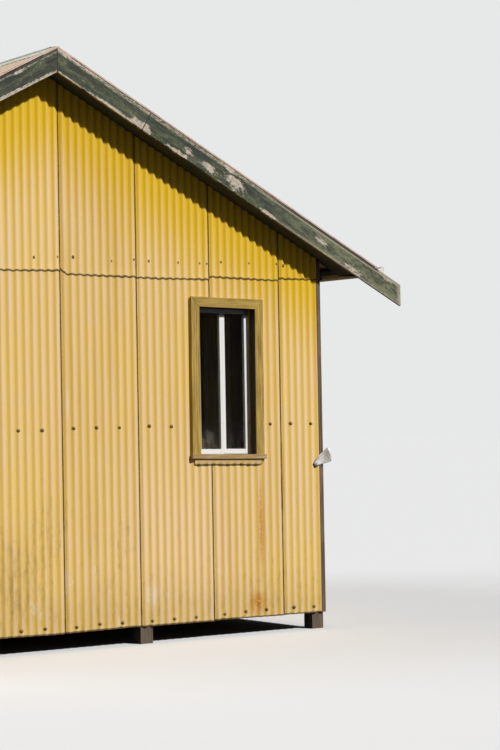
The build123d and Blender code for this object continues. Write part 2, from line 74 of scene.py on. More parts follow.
# Joinery
SEAT = 0.0003           # clearance between seated pieces of the frame
LINER = 0.019
ARCHITRAVE_THICK = 0.014
HEAD_PROUD = 0.0006     # how far the head architrave stands out over the others
STILE, MEETING_STILE, RAIL = 0.060, 0.027, 0.044
RAIL_BACK = 0.001       # how far a rail is behind the stiles
SASH_FOOT, SASH_TOP = 0.002, 0.003      # clearance below and above a leaf
SASH_DROP = 0.0015      # how much lower than level the left leaf's foot is, and the right leaf's higher
PANE_THICK = PANE_IN = 0.004
STUD_DEEP = 0.100
BEAD = 0.013
APRON_HIGH = 0.059
APRON_SHORT = 0.035     # how much shorter than the sill it is, at each end
APRON_OUT = 0.016       # how much further out its top is than the crests at its foot
APRON_SCALLOP = 0.007   # how much lower its foot is on a crest
APRON_DENT = 0.005      # how far its foot is pressed into a trough

# The photographed window has gone out of square
RACK_ALONG = 0.005      # along the wall for each metre up
SASH_RACK = 0.001       # the same for the sashes
RACK_SHIFT = 0.004      # along the wall
RACK_UP = -0.025        # up for each metre along the wall

# Roof
ROOF_PITCH = math.radians(27.7)
SLOPE, RISE, RUN = math.tan(ROOF_PITCH), math.sin(ROOF_PITCH), math.cos(ROOF_PITCH)
CREST = DEPTH + GAUGE + SEAT
RIDGE_GAP = 0.015
EAVE_OVER = 0.030       # how far the sheets reach past the rafters

# Nails, as crests of a sheet, and the heights of their rows
NAIL_CRESTS = (1.5, 4.5, 7.5)
LAP_CRESTS = (1.5, 5.5, 8.5)
LAP_CRESTS_SEEN = {     # by sheet, on the front
    -1: (6.5, 9.5), 0: (1.5, 6.5, 9.5), 1: (1.5, 5.5, 8.5, 9.5), 2: (1.5, 5.5, 9.5), 3: (0.5, 3.5),
}
NAIL_RADIUS = 0.0095
NAIL_HIGH = 0.0062
WASHER_RADIUS = 0.0165
NAIL_RINGS = (          # reach in radii of the head, and how far out
    (0.6, 0.0052), (1.0, 0.0018), (1.02, 0.0012), (WASHER_RADIUS / NAIL_RADIUS, 0.0009),
)
NAIL_SHIFT, LAP_SHIFT = -0.010, 0.012   # off the middles of their crests
NAIL_ROWS = (0.207, 1.886)
LAP_NAILS = 0.137       # above the foot of the upper course
ROOF_NAIL_ROWS = 6
ROOF_NAILS_TOP, ROOF_NAILS_FOOT = 0.100, 0.0375     # from the ridge, and from the rafters' feet

# The lap of the front's courses, by sheet: the heights of the ends of the upper sheet's foot above their
# line, and how much is torn off its first corner
LAP_FEET = {
    -1: (0.012, 0.027, 0.0),
    0: (-0.004, -0.011, 0.078),
    1: (-0.017, -0.018, 0.0),
    2: (0.006, -0.009, 0.0),
    3: (0.008, 0.005, 0.0),
}
TORN_WIDE = 0.080
SCALLOP = 0.003         # the foot hangs lower in the troughs than on the crests
CRINKLED = {3: (0.90, 1.75)}    # heights of the loose seam to the right of the photographed window

# Cappings and gutters
CAP_GAUGE = 0.0012
ROLL = 0.024            # half the width of the ridge capping's roll
END_CRUSHED = 0.014     # how much lower it is at the photographed end
CRUSHED_LONG = 0.10
RIDGE_LAPS = (-1.45, 0.35, 2.15)
LAP_LONG = 0.045
VERGE_WIDE = 0.180
VERGE_DROP = 0.013
VERGE_FACE = 0.0016
GUTTER_GAUGE = 0.0015
GUTTER_BACK = 0.058     # height of its back
GUTTER_HEEL, GUTTER_ROUND, GUTTER_BEAD = 0.020, 0.045, 0.004    # radii of its section
STOP_OUT = 0.050        # where the top of a stopped end starts to slope

# Door
DOOR_BOARDS = 5
DOOR_GROOVE = 0.003
LEDGE_HIGH, LEDGE_THICK, LEDGE_IN = 0.120, 0.025, 0.025
LEDGE_FROM_END = 0.24
KNOB_IN, KNOB_UP = 0.060, 1.0
KNOB = ((0.024, 0.0), (0.024, 0.004), (0.011, 0.007), (0.010, 0.022), (0.019, 0.027), (0.023, 0.035),
        (0.019, 0.042), (0.008, 0.045))         # radius, and how far out

# Floor
FLOOR_BOARDS = 46
FLOOR_GROOVE = 0.0012

# The loose flashing at the corner, as X out from the corner and height above its foot
SCRAP = ((-0.119, 0.030), (-0.045, 0.109), (0.030, 0.190), (0.042, 0.150), (0.050, 0.119), (0.050, 0.049),
         (-0.025, 0.022), (-0.098, 0.0))
SCRAP_MIDDLE = (-0.02, 0.08)
SCRAP_RINGS = 6

# Camera and light
CAMERA_AT = (-8.7497, -18.6277, 1.9748)
CAMERA_YAW = math.radians(34.817)
CAMERA_PITCH = math.radians(1.093)
CAMERA_ROLL = math.radians(-1.017)
CAMERA_LENS = 100.63
SUN_FROM = (0.315, -0.70, 0.63)

gable_box, upper_box, side_box = (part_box(f"{name}_iron") for name in ("front_lower", "front_upper", "right"))
barge_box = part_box("front_right_barge")

GABLE_HALF = gable_box[1][0]
GABLE_FACE = -gable_box[0][1]
UPPER_FACE = -upper_box[0][1]
SHEET_FOOT = gable_box[0][2]
COURSE_FOOT = upper_box[0][2]
COURSE_HEAD = gable_box[1][2]
SIDE_HALF = side_box[1][1]
SIDE_FACE = side_box[1][0]
SIDE_HEAD = side_box[1][2]
FRAME_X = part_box("right_frame")[1][0]
FRAME_Y = -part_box("front_frame")[0][1]
RAFTER_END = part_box("right_rafters")[1][0]
APEX = barge_box[1][2]
BARGE_FACE = -barge_box[0][1]
BARGE_END = barge_box[1][0]
BARGE_DEEP = 0.1756
SPLICE = 1.042 * RUN    # X out from the ridge, at the top of the right barge
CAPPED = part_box("verge_caps")[1][0]     # where the capping of the barges ends, short of theirs

# Gaps in the walls, from the one window and the door of the left wall: middle, width, height and foot
left_leaf, left_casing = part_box("left_sashes"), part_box("left_window_casings")
gable_leaves, door_box, door_trim_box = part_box("front_sashes"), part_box("door"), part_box("door_casing")
WINDOW_WIDE = left_leaf[1][1] - left_leaf[0][1] + 2 * SEAT
WINDOW_FOOT = left_leaf[0][2] - SEAT
WINDOW_HIGH = left_leaf[1][2] + SEAT - WINDOW_FOOT
WINDOW_HEAD = WINDOW_FOOT + WINDOW_HIGH
GABLE_WINDOW = gable_leaves[1][0] + SEAT - WINDOW_WIDE / 2
SIDE_WINDOW = -(left_leaf[0][1] + left_leaf[1][1]) / 2
ARCHITRAVE_WIDE = left_casing[1][2] - WINDOW_HEAD
SILL_HIGH = WINDOW_FOOT - left_casing[0][2]
SILL_EAR = (left_casing[1][1] - left_casing[0][1] - WINDOW_WIDE) / 2 - ARCHITRAVE_WIDE
SILL_THICK = -left_casing[0][0] - SIDE_FACE - SEAT
TRIM_FACE = SIDE_FACE + SEAT + ARCHITRAVE_THICK
SASH_SETBACK = TRIM_FACE + left_leaf[0][0]
SASH_THICK = left_leaf[1][0] - left_leaf[0][0]
DOOR_WIDE = door_trim_box[1][1] - door_trim_box[0][1] - 2 * (ARCHITRAVE_WIDE + SILL_EAR)
DOOR_MIDDLE = -(door_trim_box[0][1] + door_trim_box[1][1]) / 2
DOOR_FOOT = door_trim_box[0][2] + SILL_HIGH
DOOR_HIGH = door_trim_box[1][2] - ARCHITRAVE_WIDE - DOOR_FOOT
DOOR_GAP = (DOOR_MIDDLE, DOOR_WIDE, DOOR_HIGH, DOOR_FOOT)
DOOR_SETBACK = TRIM_FACE + door_box[0][0]
DOOR_THICK = 0.040

rng = random.Random(7)

# Marks on the front, as a place and how far each reaches; rust also has a strength
PALE = (1.35, -3.09, 0.95), (1.20, 0.3, 1.10)
MILDEW = (
    ((-0.42, -3.09, 0.66), (0.55, 0.3, 0.65)),
    ((-0.05, -3.09, 1.10), (0.34, 0.3, 0.50)),
    ((0.72, -3.09, 0.92), (0.24, 0.3, 0.42)),
)
CHALK = (
    ((0.135, -3.09, 0.60), (0.035, 0.3, 0.22)),
    ((0.980, -3.09, 0.42), (0.110, 0.3, 0.15)),
    ((0.160, -3.09, 2.10), (0.030, 0.3, 0.20)),
)
RUST = (
    ((2.155, -3.09, 0.98), (0.044, 0.2, 0.74), 1.00),
    ((2.110, -3.09, 0.28), (0.150, 0.2, 0.16), 0.95),
    ((2.410, -3.09, 1.35), (0.022, 0.2, 0.50), 0.50),
)
SMUDGE = (1.62, -3.0, 1.71), (0.20, 0.2, 0.20)    # on the left pane of the photographed window

# Bare patches on the front barges: X out from the ridge, depth below the roof, the side (1 is right and
# -1 left), and how far each reaches along and across
BARE = (
    (0.05, 0.004, 1, 0.18, 0.040), (0.12, 0.000, -1, 0.30, 0.020), (0.10, 0.174, 1, 0.26, 0.018),
    (0.10, 0.170, -1, 0.26, 0.030), (0.30, 0.010, 1, 0.20, 0.020), (0.55, 0.170, 1, 0.30, 0.030),
    (0.80, 0.140, 1, 0.16, 0.060), (0.88, 0.150, 1, 0.06, 0.090), (1.18, 0.160, 1, 0.20, 0.030),
    (1.30, 0.100, 1, 0.10, 0.060), (1.52, 0.110, 1, 0.16, 0.060), (1.80, 0.090, 1, 0.20, 0.110),
    (1.74, 0.020, 1, 0.12, 0.030), (2.15, 0.160, 1, 0.14, 0.035), (2.74, 0.090, 1, 0.16, 0.050),
    (3.10, 0.140, 1, 0.20, 0.045), (3.52, 0.030, 1, 0.14, 0.040), (0.50, 0.165, -1, 0.50, 0.030),
    (0.70, 0.020, -1, 0.30, 0.045), (0.36, 0.030, -1, 0.14, 0.040),
)
SIDE_SHIFT = 7.0        # keeps the paint of the two slopes apart


def srgb(red, green, blue):
    """A colour written as 0 to 255, for a shader."""
    parts = (red / 255, green / 255, blue / 255)
    return (*(c / 12.92 if c <= 0.04045 else ((c + 0.055) / 1.055) ** 2.4 for c in parts), 1.0)


# Shaders

class Value:
    """What a node of a material gives, so that sums and products of it are written plainly."""

    def __init__(self, paint, socket):
        self.paint, self.socket = paint, socket

    def __add__(self, other):
        return self.paint.math("ADD", self, other)

    def __sub__(self, other):
        return self.paint.math("SUBTRACT", self, other)

    def __rsub__(self, other):
        return self.paint.math("SUBTRACT", other, self)

    def __mul__(self, other):
        return self.paint.math("MULTIPLY", self, other)


class Paint:
    """Short calls that build the node tree of one material, with colours written as 0 to 255."""

    def __init__(self, name, roughness=0.6, metallic=0.0):
        self.material = bpy.data.materials.new(name)
        self.material.use_nodes = True
        self.tree = self.material.node_tree
        self.colour = None
        self.set("Roughness", roughness)
        self.set("Metallic", metallic)

    def set(self, name, value):
        self.feed(self.tree.nodes["Principled BSDF"].inputs[name], value)

    def feed(self, socket, value):
        if isinstance(value, Value):
            self.tree.links.new(value.socket, socket)
        else:
            socket.default_value = srgb(*value) if socket.type == "RGBA" else value

    def node(self, kind, inputs, output=0, **settings):
        node = self.tree.nodes.new(kind)
        for key, value in settings.items():
            setattr(node, key, value)
        for key, value in inputs.items():
            self.feed(node.inputs[key], value)
        return Value(self, node.outputs[output])

    def math(self, operation, a, b=0.0):
        return self.node("ShaderNodeMath", {0: a, 1: b}, operation=operation)

    def most(self, a, b):
        return self.math("MAXIMUM", a, b)

    def attribute(self, name, output="Fac"):
        return self.node("ShaderNodeAttribute", {}, output, attribute_name=name)

    def place(self, *scale):
        """The place on the object, in metres, with each axis scaled."""
        place = self.node("ShaderNodeTexCoord", {}, "Object")
        return self.scaled(place, *scale) if scale else place

    def scaled(self, vector, *scale):
        return self.node("ShaderNodeVectorMath", {0: vector, 1: scale}, operation="MULTIPLY")

    def axes(self, vector):
        return [self.node("ShaderNodeSeparateXYZ", {0: vector}, axis) for axis in range(3)]

    def joined(self, *axes):
        return self.node("ShaderNodeCombineXYZ", dict(enumerate(axes)))

    def noise(self, vector, scale, detail=3.0, roughness=0.55, distortion=0.0):
        inputs = {"Vector": vector, "Scale": scale, "Detail": detail, "Roughness": roughness,
                  "Distortion": distortion}
        return self.node("ShaderNodeTexNoise", inputs)

    def step(self, value, low, high):
        """0 below low and 1 above high, smooth between; low may be the greater."""
        return self.node("ShaderNodeMapRange", {0: value, 1: low, 2: high}, interpolation_type="SMOOTHSTEP")

    def mix(self, factor, a, b, blend="MIX"):
        return self.node("ShaderNodeMix", {0: factor, 6: a, 7: b}, 2, data_type="RGBA", blend_type=blend)

    def coat(self, amount, colour):
        """Paints a colour over the material's, as thickly as the amount says, from 0 to 1."""
        self.colour = self.mix(amount, self.colour, colour)

    def bump(self, height, distance):
        inputs = {"Height": height, "Distance": distance, "Strength": 1.0}
        self.set("Normal", self.node("ShaderNodeBump", inputs))

    def spot(self, vector, centre, reach):
        """1 at a place, down to 0 at its reach along each axis."""
        away = self.node("ShaderNodeVectorMath", {0: vector, 1: centre}, operation="SUBTRACT")
        away = self.scaled(away, *(1 / r for r in reach))
        length = self.node("ShaderNodeVectorMath", {0: away}, "Value", operation="LENGTH")
        return self.step(length, 1.0, 0.0)

    def finish(self):
        self.set("Base Color", self.colour)
        return self.material


def wall_iron():
    """Chalked yellow paint: pale on the crests, deep in the troughs and under the eaves, with a painted
    highlight and a painted counter-shade across each fold.
    """
    paint = Paint("wall_iron")
    place, crest = paint.place(), paint.attribute("crest")
    streaks = paint.noise(paint.place(26, 26, 0.8), 1.0, 4.0)
    broad = paint.noise(paint.place(5, 5, 0.35), 1.0, 3.0)
    cloud = paint.noise(place, 1.7, 3.0)
    grain = paint.noise(place, 46.0, 4.0)

    # the chalk follows the crests, shifted onto the flank the key light falls on as a painted highlight
    chalk = paint.step(crest + (streaks - 0.5) * 1.5, 0.05, 0.95)
    chalk = chalk * paint.step(cloud + broad * 0.5, 0.32, 0.85)
    paint.colour = paint.mix(chalk, (249, 211, 118), (244, 212, 168))
    paint.coat(paint.step(broad, 0.56, 0.70) * 0.35, (226, 182, 84))
    gold = paint.step(paint.attribute("cover") + (crest + streaks) * 0.25, 1.40, 0.50)
    paint.coat(gold, paint.mix(crest, (243, 197, 20), (234, 195, 58)))

    tint = paint.mix(paint.attribute("seed"), (245, 240, 228), (255, 253, 250))
    # Painted counter-shade: each fold is darker on the flank the key light falls on and lighter on the flank
    # it leaves in shade
    tint = paint.mix(paint.attribute("lee"), paint.mix(0.5, tint, (204, 204, 204)), tint)
    paint.colour = paint.mix(1.0, paint.colour, tint, "MULTIPLY")
    wall_weather(paint, place, crest, cloud, grain)
    wall_seams(paint, streaks, grain)
    paint.set("Specular IOR Level", 0.3)
    paint.set("Roughness", grain * 0.25 + 0.55)
    paint.bump(grain + streaks * 0.6, 0.0006)
    return paint.finish()


def wall_weather(paint, place, crest, cloud, grain):
    """Mildew, splashes from the ground, worn and pale stretches, and rust."""
    above = paint.axes(place)[2] - SHEET_FOOT
    dirt = paint.noise(paint.place(30, 30, 8), 1.0, 6.0, 0.75)
    damp = above * -0.10 - crest * 0.05
    for centre, reach in MILDEW:
        damp = damp + paint.spot(place, centre, reach) * 0.13
    paint.coat(paint.spot(place, *MILDEW[0]) * 0.30, (196, 154, 66))
    paint.coat(paint.step(dirt + damp, 0.44, 0.74) * 0.46, (128, 112, 64))
    paint.coat(paint.step(above - cloud * 0.5, 0.30, -0.25) * 0.2, (150, 120, 50))

    washed = paint.noise(paint.place(13, 13, 4), 1.0, 5.0, 0.65)
    worn = paint.step(washed, 0.60, 0.72) * paint.step(above, 1.2, 0.2)
    for centre, reach in CHALK:
        worn = paint.most(worn, paint.spot(place, centre, reach) * paint.step(grain, 0.3, 0.5))
    paint.coat(worn * 0.7, (228, 210, 182))
    paint.coat(paint.spot(place, *PALE) * 0.4, (240, 206, 160))
    for centre, reach, strength in RUST:
        streak = paint.spot(place, centre, reach) * paint.step(grain, 0.26, 0.50)
        paint.coat(streak * strength, (190, 128, 26))


def wall_seams(paint, streaks, grain):
    """Dark lines along the edges of the sheets and their feet, painted shade of the gaps under the edges with
    some dirt, and stains beside the edges.
    """
    seam, low = paint.attribute("seam"), paint.attribute("low")
    # painted shade of the gap at each seam, with dirt
    paint.coat(paint.step(seam - grain * 0.005, 0.0050, 0.0005) * 0.9, (40, 26, 8))
    paint.coat(paint.step(seam, 0.026, 0.0) * paint.step(streaks, 0.40, 0.66) * 0.5, (156, 116, 40))
    # painted shade along each sheet's foot, the shadow under a lap
    paint.coat(paint.step(low - grain * 0.014, 0.010, 0.001) * 0.85, (54, 36, 12))


def roof_iron():
    """Weathered cream paint with dust in the troughs."""
    paint = Paint("roof_iron", roughness=0.55)
    place, crest = paint.place(), paint.attribute("crest")
    streaks = paint.noise(paint.place(1.2, 22, 1.2), 1.0, 4.0)
    cloud = paint.noise(place, 1.1, 4.0, 0.65)
    grain = paint.noise(place, 40.0, 4.0)
    chalk = paint.step(crest + (streaks - 0.5) * 1.5, 0.1, 1.0)
    paint.colour = paint.mix(chalk, (172, 156, 118), (202, 190, 162))
    edge = paint.step(paint.axes(place)[1], 0.62 - BARGE_FACE, 0.58 - BARGE_FACE)
    paint.coat(edge * (cloud + 0.15), (200, 172, 150))
    paint.coat(paint.step(cloud - crest * 0.12, 0.50, 0.68) * 0.5, (138, 128, 98))
    rust = paint.step(streaks, 0.60, 0.74) * paint.step(paint.attribute("low"), 0.5, 0.0)
    paint.coat(rust * 0.6, (156, 92, 42))
    paint.coat(paint.step(paint.attribute("seam") - grain * 0.004, 0.005, 0.0) * 0.8, (62, 48, 32))
    paint.bump(grain + streaks, 0.0006)
    return paint.finish()


def capping(name, base, high, stain):
    """Dull pale paint on bent sheet metal, with stained spots."""
    paint = Paint(name, roughness=0.5)
    place = paint.place()
    paint.colour = paint.mix(paint.step(paint.noise(place, 6.0, 5.0, 0.65), 0.35, 0.62), base, high)
    paint.coat(paint.step(paint.noise(place, 19.0, 5.0, 0.7), 0.60, 0.70) * 0.65, stain)
    paint.bump(paint.noise(place, 60.0, 3.0), 0.0005)
    return paint.finish()


def slope_place(paint):
    """Along a roof slope from the ridge, across it below the roof's plane, and through it, in metres."""
    x, y, z = paint.axes(paint.place())
    out = paint.math("ABSOLUTE", x)
    return paint.joined(out, (APEX - z - out * SLOPE) * RUN, y + paint.math("SIGN", x) * SIDE_SHIFT)


def barge_paint():
    """Faded grey-green paint, flaked to pale primer in patches and along the edges."""
    paint = Paint("barge_paint", roughness=0.75)
    place = slope_place(paint)
    along, below, through = paint.axes(place)
    right, outer = paint.step(through, 0.0, 1.0), paint.step(along, 1.8, 2.5)
    grain = paint.noise(paint.scaled(place, 5, 150, 60), 1.0, 4.0, 0.6)
    cloud = paint.noise(paint.scaled(place, 5, 20, 5), 1.0, 5.0, 0.65)
    fine = paint.noise(paint.scaled(place, 34, 90, 30), 1.0, 6.0, 0.75)

    paint.colour = paint.mix(paint.step(cloud, 0.36, 0.66), (14, 22, 12), (60, 70, 46))
    paint.coat(paint.step(grain, 0.50, 0.70) * 0.40, (112, 110, 76))
    paint.coat(paint.step(fine * 0.7 + cloud * 0.3, 0.52, 0.62) * 0.55, (140, 130, 98))
    paint.coat(paint.step(along, 2.1, 3.0) * paint.step(cloud + fine, 0.88, 1.10) * 0.5, (146, 142, 108))
    paint.coat(outer * 0.18, (104, 110, 84))
    rims = paint.most(paint.step(below, 0.036, 0.024), paint.step(below, 0.142, 0.172) * (outer * 0.6))
    rims = paint.most(rims, paint.step(along, BARGE_END - 0.060, BARGE_END - 0.015))
    paint.coat(rims * paint.step(fine + outer * 0.10, 0.40, 0.56) * 0.75, (178, 168, 144))

    flaked = paint.step(cloud * 0.35 + fine * 0.65 + bareness(paint, place, below), 0.62, 0.70)
    paint.coat(flaked * 0.9, paint.mix(paint.step(fine, 0.35, 0.65), (156, 143, 122), (220, 205, 186)))
    # dark joints, and the painted shadow under the capping
    paint.coat(joints_and_capping_shadow(paint, along, below, right, outer), (24, 22, 14))
    paint.bump(grain * 0.6 - flaked * 0.8, 0.0012)
    return paint.finish()


def bareness(paint, place, below):
    """How ready the paint of the barges is to flake: more at their edges and in the bare patches."""
    bare = paint.step(below, 0.128, 0.176) * 0.07 + paint.step(below, 0.020, 0.0) * 0.10
    for out, deep, side, reach, high in BARE:
        centre = (out, deep, SIDE_SHIFT * side - BARGE_FACE)
        bare = bare + paint.spot(place, centre, (reach, high, 0.4)) * 0.26
    return bare


def joints_and_capping_shadow(paint, along, below, right, outer):
    """The joint at the ridge, the splice of the right barge, and a painted shadow under its capping."""
    splice = paint.math("ABSOLUTE", along + below * SLOPE - SPLICE)
    joints = paint.most(paint.step(splice, 0.007, 0.002) * right, paint.step(along, 0.007, 0.003))
    capped = paint.most(outer, 1.0 - right) * paint.step(along, CAPPED + 0.03, CAPPED - 0.01)
    # painted shadow of the capping along the top of the barge, as far as the capping reaches
    return paint.most(joints, paint.step(below, 0.021, 0.017) * capped * 0.9)


def timber(name, dark, pale, streak, place=None, paint_left=None):
    """Weathered boards; the grain runs along the first axis of the place that is given."""
    paint = Paint(name, roughness=0.8)
    grain_place = place(paint) if place else paint.attribute("grain", "Vector")
    grain = paint.noise(paint.scaled(grain_place, 3, 90, 60), 1.0, 5.0, 0.65, 0.2)
    cloud = paint.noise(paint.scaled(grain_place, 2.2, 9, 9), 1.0, 4.0, 0.6)
    fine = paint.noise(paint.scaled(grain_place, 14, 160, 120), 1.0, 4.0, 0.6)
    paint.colour = paint.mix(paint.step(grain, 0.30, 0.70), dark, pale)
    paint.coat(paint.step(cloud, 0.48, 0.72) * 0.7, streak)
    if paint_left:
        paint.coat(paint.step(cloud * 0.5 + fine * 0.5, 0.53, 0.62) * 0.6, paint_left)
    paint.bump(grain + fine * 0.5, 0.001)
    return paint.finish()


def along_axis(axis):
    """The place with the grain's axis first."""
    def place(paint):
        parts = paint.axes(paint.place())
        return paint.joined(parts.pop(axis), *parts)
    return place


def sash_paint():
    """White gloss with some grime, and painted shade on the top of each leaf, behind the head."""
    paint = Paint("sash_paint", roughness=0.35)
    place = paint.place()
    grime = paint.step(paint.noise(place, 18.0, 5.0, 0.7), 0.56, 0.72)
    paint.colour = paint.mix(grime * 0.35, (238, 235, 231), (196, 188, 174))
    # painted shade from the head over the top of each leaf
    head = paint.step(paint.axes(place)[2], WINDOW_HEAD - 0.080, WINDOW_HEAD - 0.050)
    paint.coat(head * 0.92, (44, 38, 26))
    paint.bump(paint.noise(paint.place(60, 60, 12), 1.0), 0.0004)
    return paint.finish()


def window_glass():
    """Clear old glass, dusty towards the foot of each pane."""
    paint = Paint("window_glass", roughness=0.03)
    place = paint.place()
    smear = paint.noise(paint.place(14, 14, 9), 1.0, 5.0, 0.7)
    low = paint.step(paint.axes(place)[2] + smear * 0.5, 2.25, 1.85)
    smudge = paint.spot(place, *SMUDGE) * paint.step(smear, 0.35, 0.6)
    dust = paint.most(low * paint.step(smear, 0.38, 0.7) * 0.05, smudge * 0.16)
    paint.colour = paint.mix(smudge, (214, 218, 212), (190, 164, 128))
    paint.set("IOR", 1.10)
    paint.set("Transmission Weight", 1.0 - dust)
    paint.set("Roughness", dust * 3.0)
    return paint.finish()


def plain_metal(name, base, high, roughness, metallic, spots=None):
    """Metal of one colour, with rust spots where they are given a colour."""
    paint = Paint(name, roughness, metallic)
    place = paint.place()
    paint.colour = paint.mix(paint.step(paint.noise(place, 24.0, 4.0, 0.6), 0.35, 0.65), base, high)
    if spots:
        paint.coat(paint.step(paint.noise(place, 38.0, 6.0, 0.7), 0.54, 0.62) * 0.8, spots)
    paint.bump(paint.noise(place, 90.0), 0.0004)
    return paint.finish()


def flashing_metal():
    """Bare sheet metal, darker towards its torn lower end, with rust spots."""
    paint = Paint("torn_flashing", roughness=0.5, metallic=0.2)
    place = paint.place()
    fine = paint.noise(place, 70.0, 5.0, 0.7)
    cloud = paint.step(paint.noise(place, 24.0, 4.0, 0.6), 0.35, 0.65)
    paint.colour = paint.mix(cloud, (196, 192, 184), (226, 224, 219))
    x, _, z = paint.axes(place)
    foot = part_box("corner_flashing")[0]
    down = (x - foot[0]) * 0.6 + (z - foot[2])
    # darker towards the lower end, and rust spots
    rust = paint.most(paint.step(down - fine * 0.05, 0.055, 0.0), paint.step(fine, 0.60, 0.68) * 0.5)
    paint.coat(rust * 0.9, (66, 42, 22))
    paint.bump(fine, 0.0005)
    return paint.finish()


# Meshes

class Basis:
    """Where a wall or slope drawn as u, v and z lies in the frame; its boards may be pushed out of square."""

    def __init__(self, origin, u, v, z, shape=None):
        self.origin = np.array(origin, float)
        self.rows = np.array([u, v, z], float)
        self.flips = np.linalg.det(self.rows) < 0
        self.shape = shape or (lambda u, z: (u, z))

    def place(self, points):
        return self.origin + np.asarray(points, float) @ self.rows


def wall_basis(angle, face, shape=None):
    """The front wall turned about Z, its foremost iron at v = 0."""
    turn = math.radians(angle)
    u = (math.cos(turn), math.sin(turn), 0)
    v = (-math.sin(turn), math.cos(turn), 0)
    return Basis([-face * c for c in v], u, v, (0, 0, 1), shape)


def slope_basis(side):
    """A roof slope from its foot: u along the eave, v down through the iron and z up the slope."""
    reach = RAFTER_END + EAVE_OVER
    foot = (side * (reach + CREST * RISE), 0, APEX - reach * SLOPE + CREST * RUN)
    return Basis(foot, (0, 1, 0), (-side * RISE, 0, -RUN), (-side * RUN, 0, RISE))


class Mesh:
    """Points, faces and what the paint reads at each point, gathered into one object."""

    def __init__(self, name):
        self.name = name
        self.points, self.faces, self.data = [], [], {}
        self.count = 0

    def add(self, points, faces, basis=None, **data):
        placed = basis.place(points) if basis else np.asarray(points, float)
        faces = [[self.count + i for i in face] for face in faces]
        self.faces += [face[::-1] for face in faces] if basis and basis.flips else faces
        for key, values in data.items():
            self.data.setdefault(key, []).append((self.count, np.asarray(values, float)))
        self.points.append(placed)
        self.count += len(placed)

    def finish(self, material, slot, *replaced, smooth=False, bevel=0.0):
        mesh = bpy.data.meshes.new(self.name)
        mesh.from_pydata(np.concatenate(self.points).tolist(), [], self.faces)
        for key, parts in self.data.items():
            vector = parts[0][1].ndim == 2
            values = np.zeros((self.count, 3) if vector else self.count)
            for start, part in parts:
                values[start:start + len(part)] = part
            kind, field = ("FLOAT_VECTOR", "vector") if vector else ("FLOAT", "value")
            mesh.attributes.new(key, kind, "POINT").data.foreach_set(field, values.ravel())
        mesh.polygons.foreach_set("use_smooth", [smooth] * len(mesh.polygons))
        mesh.materials.append(material)
        piece = bpy.data.objects.new(self.name, mesh)
        bpy.context.scene.collection.objects.link(piece)
        if bevel:
            add_bevel(piece, bevel)
        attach(piece, "root")
        if replaced:
            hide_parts(*replaced)
        return piece


def add_bevel(piece, width):
    bevel = piece.modifiers.new("worn_edges", "BEVEL")
    bevel.width = width
    bevel.segments = 2
    bevel.limit_method = "ANGLE"


def waver(size):
    """A smooth random line about 0, as a function of z."""
    waves = [(rng.uniform(*rate), rng.uniform(0, 7)) for rate in ((2, 5), (7, 14), (20, 34))]
    return lambda z: size * sum(np.sin(z * k + start) / (i + 1) for i, (k, start) in enumerate(waves))


def level(height):
    """A level line, as a function of u."""
    return lambda u: 0 * u + height


def rake(u):
    """Height of the underside of the barges over the front wall."""
    return APEX - np.abs(u) * SLOPE - BARGE_DEEP / RUN - SEAT


def fold(u):
    """The corrugation, 0 in a trough and 1 on a crest."""
    return (1 - np.cos(2 * math.pi * u / PITCH)) / 2


def fade(distance, reach):
    """1 at no distance, down to 0 at the reach."""
    return np.clip(1 - distance / reach, 0, 1)


def fan(sides):
    """The faces from a first point to the ring of points that follows it."""
    return [[0, 1 + i, 1 + (i + 1) % sides] for i in range(sides)]


def between_rings(first, rings, sides):
    """The faces between rings of points that follow one another from a first point."""
    return [[a + i, a + sides + i, a + sides + (i + 1) % sides, a + (i + 1) % sides]
            for a in range(first, first + (rings - 1) * sides, sides) for i in range(sides)]


def prism(count):
    """The two ends and the sides of a prism, for one outline's points and then the other's."""
    sides = [[i, i + count, (i + 1) % count + count, (i + 1) % count] for i in range(count)]
    return [list(range(count)), list(range(2 * count - 1, count - 1, -1))] + sides


def board(mesh, basis, outline, v0, v1, upright=False):
    """A board with an outline of (u, z), counter-clockwise from the front, between two depths."""
    flat = [basis.shape(u, z) for u, z in outline]
    points = [(u, v, z) for v in (v0, v1) for u, z in flat]
    shift = rng.uniform(0, 40)
    grain = [(z + shift, shift - u, v) if upright else (u + shift, z + shift, v) for u, v, z in points]
    mesh.add(points, prism(len(flat)), basis, grain=grain)


def plank(mesh, basis, u0, u1, v0, v1, z0, z1, upright=False):
    board(mesh, basis, [(u0, z0), (u1, z0), (u1, z1), (u0, z1)], v0, v1, upright)


# Corrugated sheets

class Wall:
    """A stretch of sheets: its basis, half its width, u of a sheet's first edge, its gaps as in DOOR_GAP,
    whether the sheets lap, and how close their points are: along z, and in each corrugation."""

    def __init__(self, basis, half, joint, gaps=(), lap=False, spacing=0.4, folds=8):
        self.basis, self.half, self.joint, self.gaps = basis, half, joint, gaps
        self.lap, self.spacing, self.folds = lap, spacing, folds

    def sheets(self):
        """The number of each sheet, and u of its first edge."""
        number = -math.ceil(round((self.joint + self.half) / SHEET, 6))
        while self.joint + number * SHEET < self.half - 0.001:
            yield number, self.joint + number * SHEET
            number += 1


